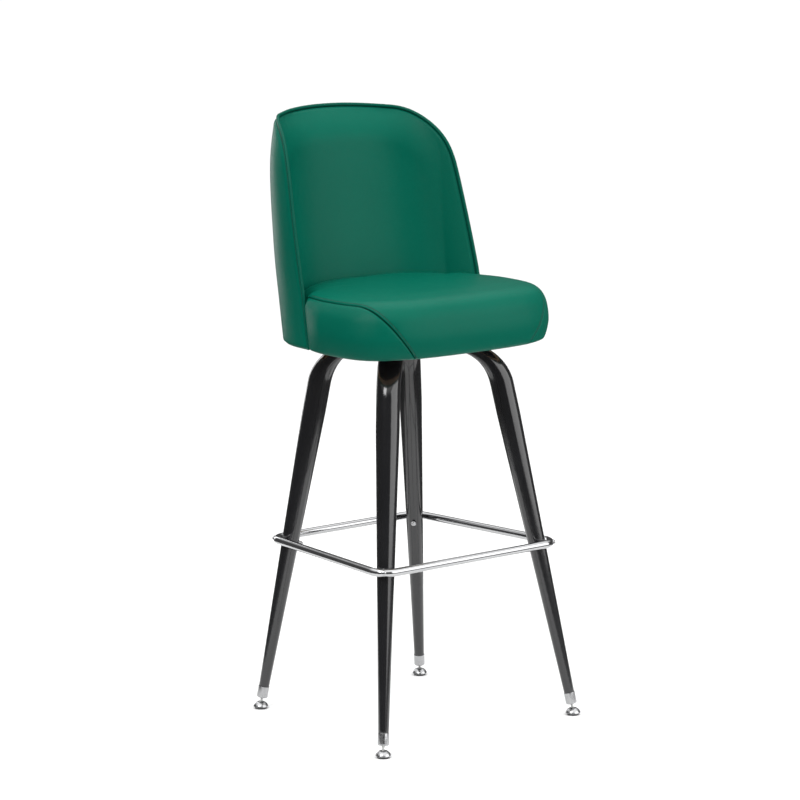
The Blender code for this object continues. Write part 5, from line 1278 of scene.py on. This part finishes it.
# %% The seat's table
TABLE_RUNS = np.linspace(0, SIDE_RUN, TABLE_ROWS)
near = np.array([seat_half(run, 0) for run in TABLE_RUNS])
deep = np.array([seat_half(run, COVER) for run in TABLE_RUNS])
SEAT_FORM, SEAT_OUT = near, unit(near - deep)
HALF_COLUMNS = SEAT_FORM.shape[1]
print(f"seat's table: {SEAT_FORM.shape[0]} runs by {HALF_COLUMNS} columns")

# %% [markdown]
# ## Where the seam runs
# The top cover comes down the front as one panel. Each side has a panel of its own, and their seam
# climbs from the skirt near the front's corner and bends back along the cushion's edge to the wing.

# %% The seam
SEAM_START_X, SEAM_END_X, SEAM_POWER = 0.1280, 0.2100, 1.5
SEAM_LEAD = 0.0100
SEAT_EDGE_HEIGHT = 0.7758
LEAST_LEAN = 0.05

seam_x = np.concatenate([front_half(0)[:, 0], np.full(HALF_COLUMNS - FRONT_COLUMNS, SEAT_HALF_WIDTH)])
along = share_of(seam_x, SEAM_START_X, SEAM_END_X)
climb = between(SKIRT_HEIGHT, SEAT_EDGE_HEIGHT, 1 - (1 - along) ** SEAM_POWER)
lead = share_of(seam_x, SEAM_START_X - SEAM_LEAD, SEAM_START_X)
SEAM_RUN = np.where(seam_x < SEAM_START_X, lead * FOOT_RUN, run_of_height(climb))
SEAM_RUN = np.convolve(np.pad(SEAM_RUN, 2, mode="edge"), np.ones(5) / 5, mode="valid")
SEAM_RUN[seam_x < SEAM_START_X - SEAM_LEAD] = 0
LAST_SIDE = FRONT_COLUMNS + SIDE_COLUMNS - 1
TOP_START = SEAM_RUN.copy()
TOP_START[LAST_SIDE + TUCK_COLUMNS // 2 :] = run_of_height(SEAT_TUCK_FOOT)
ease = smooth_share(np.arange(TUCK_COLUMNS) / (TUCK_COLUMNS - 1))
bend = slice(LAST_SIDE, LAST_SIDE + TUCK_COLUMNS)
TOP_START[bend] = between(TOP_START[LAST_SIDE], run_of_height(SEAT_TUCK_FOOT), ease)
FIRST_SIDE = int(np.argmax(SEAM_RUN > 0)) - 1


def seat_at(run, column, dip=0.0):
    """Points of the seat's form at a run and a whole or part column, sunk by dip."""
    row = np.clip(run / TABLE_RUNS[1], 0, TABLE_ROWS - 1)
    column = np.clip(column, 0, HALF_COLUMNS - 1)
    form, out = (look_up(table, row, column) for table in (SEAT_FORM, SEAT_OUT))
    return form - out * np.asarray(dip)[..., None]


seam_line = seat_at(SEAM_RUN, np.arange(HALF_COLUMNS))
step = np.maximum(np.linalg.norm(np.gradient(seam_line, axis=0), axis=1), 1e-6)
SEAM_LEAN = np.sqrt(np.clip(1 - (np.gradient(SEAM_RUN) / step) ** 2, LEAST_LEAN, 1))
print(f"seam: {lengths_along(seam_line[FIRST_SIDE:LAST_SIDE])[-1]:.3f} m each side")

# %% [markdown]
# ## The seat's covers
# Each panel sinks towards its seam, where the stitching pulls it into the foam, and the top panel
# sinks again along its row of topstitching, so a ridge stands between the two. Rows of the grid
# crowd together at the seam to hold that shape. The seam and the row of stitches are darkened with
# painted shade. The side panels are carried on a little way round behind the wing's edge, sunk in
# and darkened with painted shade, so that no gap opens between seat and back.

# %% How the covers meet
SEAM_STEPS = np.array([0, 0.6, 1.3, 2.1, 3.0, 3.9, 4.6, 5.4, 6.3, 7.5, 9.5, 12.5]) / 1000
PANEL_ROWS = 34
SEAM_DIP, SEAM_DIP_WIDTH = 0.0030, 0.0017
STITCH_OFFSET, STITCH_DIP, STITCH_DIP_WIDTH = 0.0050, 0.0006, 0.0011
STITCH_SHADE, STITCH_SHADE_WIDTH = 0.75, 0.0007
PULL_HEIGHT, PULL_PLACE, PULL_WIDTH = 0.00012, 0.0060, 0.0060


def rows_from_seam(lean, room):
    """Runs away from the seam, per column: close steps first, then even ones over the room left."""
    near_seam = SEAM_STEPS[:, None] / lean
    near_seam = near_seam * np.minimum(1, 0.5 * room / near_seam[-1])
    share = np.linspace(0, 1, PANEL_ROWS)[1:, None]
    return np.concatenate([near_seam, between(near_seam[-1], room, share)])


def dip_at(distance, stitched=0.0):
    """How far a cover sinks at a distance from its seam, and again along its stitches."""
    beside = STITCH_DIP * stitched * hump(distance - STITCH_OFFSET, STITCH_DIP_WIDTH)
    return SEAM_DIP * hump(distance, SEAM_DIP_WIDTH) + beside


def painted_shade_at(distance, stitched=0.0):
    """Painted shade: 1 in the bottom of the seam, and a part of that along the stitches."""
    row = STITCH_SHADE * stitched * hump(distance - STITCH_OFFSET, STITCH_SHADE_WIDTH)
    return np.maximum(hump(distance, PAINTED_SHADE_WIDTH), row)


def pulled(distance, column):
    """Small puckers that the stitches pull across a seam, dying away over a centimetre."""
    return PULL_HEIGHT * uneven_wave(column, 1.9, 2, 0.37) * hump(distance - PULL_PLACE, PULL_WIDTH)


def swelling(columns, away, height, seed):
    """Slow swells over a panel, none at its seam."""
    return height * swell(columns[None] * COLUMN_STEP, away, seed) * np.clip(away / EDGE_EASE, 0, 1)


print("seam helpers ready")

# %% Make the top panel
COLUMN_STEP = 0.003
PLAIN_DIP_SHARE = 0.25
TOP_SWELL, SIDE_SWELL, CROWN_SWELL = 0.0006, 0.0008, 0.0011
CROWN_ROWS, CROWN_SWELL_SHIFT, CROWN_SWELL_EASE = 30, 0.3, 4

columns = np.arange(HALF_COLUMNS)
has_seam = smooth_share(lead) * (columns <= LAST_SIDE + 2)
away = rows_from_seam(SEAM_LEAN, SIDE_RUN - TOP_START)
distance = away * SEAM_LEAN
sink = dip_at(distance, has_seam) * np.maximum(has_seam, PLAIN_DIP_SHARE)
sink = sink + pulled(distance, columns) * has_seam + swelling(columns, away, TOP_SWELL, 5)
top_half = seat_at(TOP_START + away, np.broadcast_to(columns, away.shape), sink)
# Painted shade along the seam and the row of stitches.
top_painted_shade = painted_shade_at(distance, has_seam) * has_seam
crown_share = np.linspace(1, 0, CROWN_ROWS)[1:, None, None]
centre = np.array([0, SEAT_CENTRE_Y, SEAT_CROWN_HEIGHT])
edge = top_half[-1][None]
crown = between(centre, edge, crown_share)
crown[..., 2] = between(centre[2], edge[..., 2], crown_share[..., 0] ** SEAT_CROWN_POWER)
flat = np.minimum((1 - crown_share[..., 0]) * CROWN_SWELL_EASE, 1)
crown[..., 2] += CROWN_SWELL * (swell(crown[..., 0], crown[..., 1], 12) - CROWN_SWELL_SHIFT) * flat
top_half = np.concatenate([top_half, crown])
top_grid = np.concatenate([top_half, top_half[:, -2:0:-1] * [-1, 1, 1]], axis=1)
top_painted_shade = np.pad(top_painted_shade, ((0, len(top_half) - len(top_painted_shade)), (0, 0)))
top_painted_shade = np.concatenate([top_painted_shade, top_painted_shade[:, -2:0:-1]], axis=1)
quads = grid_quads(top_grid, around=True)
panels = [cover_piece("seat_panel_top", top_grid, quads, ["seat_top_cover", "seat_foam"], top_painted_shade)]
print("seat's top panel:", len(quads), "faces")

# %% Make the side panels
TUCKED_COLUMNS = 10
WING_DIP, WING_DIP_WIDTH, WING_PAINTED_SHADE_WIDTH = 0.0040, 0.0045, 0.0022
SKIRT_GAP, LEAST_ROOM = 0.0002, 0.0004
MIRRORS = (("left", -1), ("right", 1))

side_columns = slice(FIRST_SIDE, LAST_SIDE + 1 + TUCKED_COLUMNS)
lean, columns = SEAM_LEAN[side_columns], columns[side_columns]
away = rows_from_seam(lean, np.maximum(SEAM_RUN[side_columns] - SKIRT_GAP, LEAST_ROOM))
distance = away * lean
to_wing = lengths_along(seam_line[side_columns])
to_wing = np.maximum(to_wing[LAST_SIDE - FIRST_SIDE] - to_wing, 0)
sink = dip_at(distance) - pulled(distance, columns) + WING_DIP * hump(to_wing, WING_DIP_WIDTH)
# Painted shade in the seam, and behind the wing's edge where the panel is carried round.
side_painted_shade = np.maximum(painted_shade_at(distance), hump(to_wing, WING_PAINTED_SHADE_WIDTH))
sink = sink + swelling(columns, away, SIDE_SWELL, 7)
side_half = seat_at(SEAM_RUN[side_columns] - away, np.broadcast_to(columns, away.shape), sink)
quads = grid_quads(side_half)
for name, mirror in MIRRORS:
    turned = quads if mirror > 0 else quads[:, ::-1]
    covers = [f"seat_side_cover_{name}"]
    panels.append(cover_piece(f"seat_panel_{name}", side_half * [mirror, 1, 1], turned, covers, side_painted_shade))
print("seat panels:", [len(panel.data.polygons) for panel in panels])

# %% [markdown]
# ## Topstitching
# A row of stitches runs beside the seam, along the fold that holds the seam's allowance flat. Each is
# a short rod of thread with rounded ends, half sunk in the vinyl. One stitch is made, and the rest
# are the same points turned to lie along the line.

# %% Make the stitches
STITCH_PITCH, STITCH_LENGTH, THREAD_WIDTH = 0.0036, 0.0026, 0.00042
STITCH_BOW, STITCH_SINK_SHARE, OUTWARD_STEP = 0.00006, 0.75, 0.001
STITCH_RINGS = np.array([(-1, 0.25), (-0.8, 0.85), (-0.4, 1.0), (0.4, 1.0), (0.8, 0.85), (1, 0.25)])
THREAD_AROUND = 6


def stitch_form():
    """A capsule along X: rings whose radius is that of the thread, drawn in at both ends."""
    shares, radii = STITCH_RINGS[:, :1], THREAD_WIDTH * STITCH_RINGS[:, 1:]
    turns = full_turn(THREAD_AROUND)
    along = np.repeat(shares * STITCH_LENGTH / 2, THREAD_AROUND, axis=1)
    grid = np.stack([along, radii * np.cos(turns), radii * np.sin(turns) - STITCH_BOW * shares**2], axis=-1)
    return with_caps(grid, grid_quads(grid, around=True))


FORM, FORM_FACES = stitch_form()
beside = slice(FIRST_SIDE + 3, LAST_SIDE - 1)
stitched = np.arange(beside.start, beside.stop)
line_run = SEAM_RUN[beside] + STITCH_OFFSET / SEAM_LEAN[beside]
line = seat_at(line_run, stitched, STITCH_DIP * STITCH_SINK_SHARE)
line_runs = lengths_along(line)
middles = np.arange(STITCH_PITCH, line_runs[-1] - STITCH_PITCH, STITCH_PITCH)

out_way = unit(seat_at(line_run, stitched) - seat_at(line_run, stitched, OUTWARD_STEP))
ups = unit(read_along(out_way, line_runs, middles))
ends = [read_along(line, line_runs, middles + way * STITCH_LENGTH / 2) for way in (-1, 1)]
ways = unit(ends[1] - ends[0])
frames = np.stack([ways, np.cross(ups, ways), ups], axis=1)
rods = read_along(line, line_runs, middles)[:, None] + FORM[None] @ frames
firsts = range(0, rods.size // 3, len(FORM))
faces = [[corner + first for corner in face] for first in firsts for face in FORM_FACES]
for name, mirror in MIRRORS:
    points = from_axis(rods.reshape(-1, 3) * [mirror, 1, 1])
    new_piece(f"seat_topstitch_{name}", points, faces, "seat", "vinyl", finish="thread")
print("stitches:", len(rods), "each side")

# %% [markdown]
# ## The dust cover
# Black cloth is stapled under the board to hide the foam and the board's holes. It spans the hoop's
# inside and hangs a hair low between its staples, so halfway to its hole it sags by a millimetre.

# %% Dust cover
DUST_COVER_HOLE, DUST_COVER_SAG = 0.1040, 0.0012
HEM_SHARE, CLOTH_INSET, CLOTH_LIFT, CLOTH_WALL = 1.15, 0.0004, 0.0001, 0.0004
STAPLES, STAPLE_PULL, STAPLE_REACH = 36, 0.0003, 0.12
SLOW_WAVES, SLOW_WAVE_HEIGHT = 9, 0.0002
CLOTH_AROUND, CLOTH_ROWS = 240, 18

cloth_low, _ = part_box("dust_cover")
cloth_mesh = frame["nodes"]["dust_cover"].data
corners = np.array([tuple(vertex.co)[:2] for vertex in cloth_mesh.vertices]) - [0, SWIVEL_Y]
reach = np.linalg.norm(corners, axis=1)
at_hem = reach > DUST_COVER_HOLE * HEM_SHARE
turns = np.arctan2(corners[at_hem, 1], corners[at_hem, 0])
order = np.argsort(turns)
around = np.linspace(-math.pi, math.pi, CLOTH_AROUND, endpoint=False)
outer = np.interp(around, turns[order], reach[at_hem][order], period=2 * math.pi) - CLOTH_INSET
share = np.linspace(0, 1, CLOTH_ROWS)[:, None]
radius = between(DUST_COVER_HOLE, outer[None], share)
staples = STAPLE_PULL * np.sin(around * STAPLES) * hump(1 - share, STAPLE_REACH)
slow = DUST_COVER_SAG + SLOW_WAVE_HEIGHT * (1 + np.sin(around * SLOW_WAVES))
sag = slow * np.sin(math.pi * share) + staples * (share > 0)
level = cloth_low[2] + CLOTH_LIFT - sag
grid = from_axis(np.stack([radius * np.cos(around), radius * np.sin(around), level], axis=-1))
quads = grid_quads(grid, around=True)[:, ::-1]
cloth = new_piece("dust_cloth", grid, quads, "seat", "cambric", ["dust_cover"], tidy=False)
walled(cloth, CLOTH_WALL)

# %% [markdown]
# ## Finishes for the CAD's own pieces
# The swivel, the board, the hoop, the legs' bolts and the screws keep their CAD shapes. Each gets the
# finish of its slot in the record.

# %% Finish the CAD's pieces
slots = {part["node"]: part["material_slot"] for part in frame["record"]["subparts"]}
for name, node in frame["nodes"].items():
    node.data.materials.clear()
    node.data.materials.append(FINISH[slots[name]])
print("finished:", len(slots), "nodes")

# %% [markdown]
# ## Floor
# The stool stands on a plain pale floor that fills the frame. A photographer lays a white sheet under
# the object and leaves the rest of the room dark, so that enamel and vinyl keep their depth. So the
# floor is white to the camera and under the stool, and dark to all else beyond the sheet.

# %% Floor
FLOOR_HALF = 60.0
SHEET_REACH = 1.0
floor_mesh = bpy.data.meshes.new("floor")
ends = ((-1, -1), (1, -1), (1, 1), (-1, 1))
floor_mesh.from_pydata([(x * FLOOR_HALF, y * FLOOR_HALF, 0) for x, y in ends], [], [(0, 1, 2, 3)])
floor = bpy.data.objects.new("floor", floor_mesh)
bpy.context.scene.collection.objects.link(floor)
look = Finish("floor_paint", 0.8, Specular_IOR_Level=0.2)
cloud = look.cloud(1.5, 2.0, 0.4)
white = look.mix(cloud, (0.88, 0.88, 0.88, 1), (0.92, 0.92, 0.92, 1))
reach = look.add("ShaderNodeVectorMath", {0: look.place}, operation="LENGTH").outputs["Value"]
on_sheet = look.math("LESS_THAN", reach, SHEET_REACH)
seen = look.add("ShaderNodeLightPath").outputs["Is Camera Ray"]
pale = look.math("MAXIMUM", on_sheet, seen)
look.put(look.shader, {"Base Color": look.mix(pale, (0.05, 0.05, 0.05, 1), white)})
floor_mesh.materials.append(FINISH["floor_paint"])
print("floor:", 2 * FLOOR_HALF, "m wide")

# %% [markdown]
# ## Light
# Light comes from a wide soft ceiling, which whitens the floor evenly, a tall panel at the camera's
# right, whose image is the broad grey band on the legs, and panels at the left and behind for the
# back's side and its rim.

# %% Lights
SKY_LOW, SKY_HIGH = 0.10, 1.95
world = bpy.data.worlds.new("studio")
world.use_nodes = True
sky = Nodes(world.node_tree)
background = world.node_tree.nodes["Background"]
way = sky.add("ShaderNodeSeparateXYZ", {0: sky.add("ShaderNodeTexCoord").outputs["Generated"]}).outputs["Z"]
overhead = sky.ramp(way, [(0.42, 0.0), (0.85, 1.0)])
level = sky.scaled(overhead, SKY_HIGH - SKY_LOW, SKY_LOW)
seen = sky.add("ShaderNodeLightPath").outputs["Is Camera Ray"]
shown = sky.math("ADD", sky.math("MULTIPLY", level, sky.math("SUBTRACT", 1.0, seen)), seen)
sky.put(background, {"Strength": shown, "Color": (1.0, 1.0, 1.0, 1)})
bpy.context.scene.world = world


def soft_light(name, place, aim, width, height, power):
    """A rectangular area light at a place, turned to face a point."""
    data = bpy.data.lights.new(name, "AREA")
    data.shape = "RECTANGLE"
    data.size, data.size_y, data.energy = width, height, power
    lamp = bpy.data.objects.new(name, data)
    lamp.visible_camera = False
    bpy.context.scene.collection.objects.link(lamp)
    way = Vector(aim) - Vector(place)
    lamp.matrix_world = Matrix.Translation(place) @ way.to_track_quat("-Z", "Y").to_matrix().to_4x4()
    return lamp


soft_light("right_panel", (1.2, -2.4, 1.3), (0, 0, 0.7), 3.6, 2.2, 60)
soft_light("left_panel", (-2.2, -0.7, 2.3), (0, 0, 0.7), 1.2, 1.2, 38)
soft_light("rear_panel", (0.3, 3.2, 1.2), (0, 0, 0.8), 0.9, 2.0, 14)
bpy.context.scene.view_settings.view_transform = "Standard"
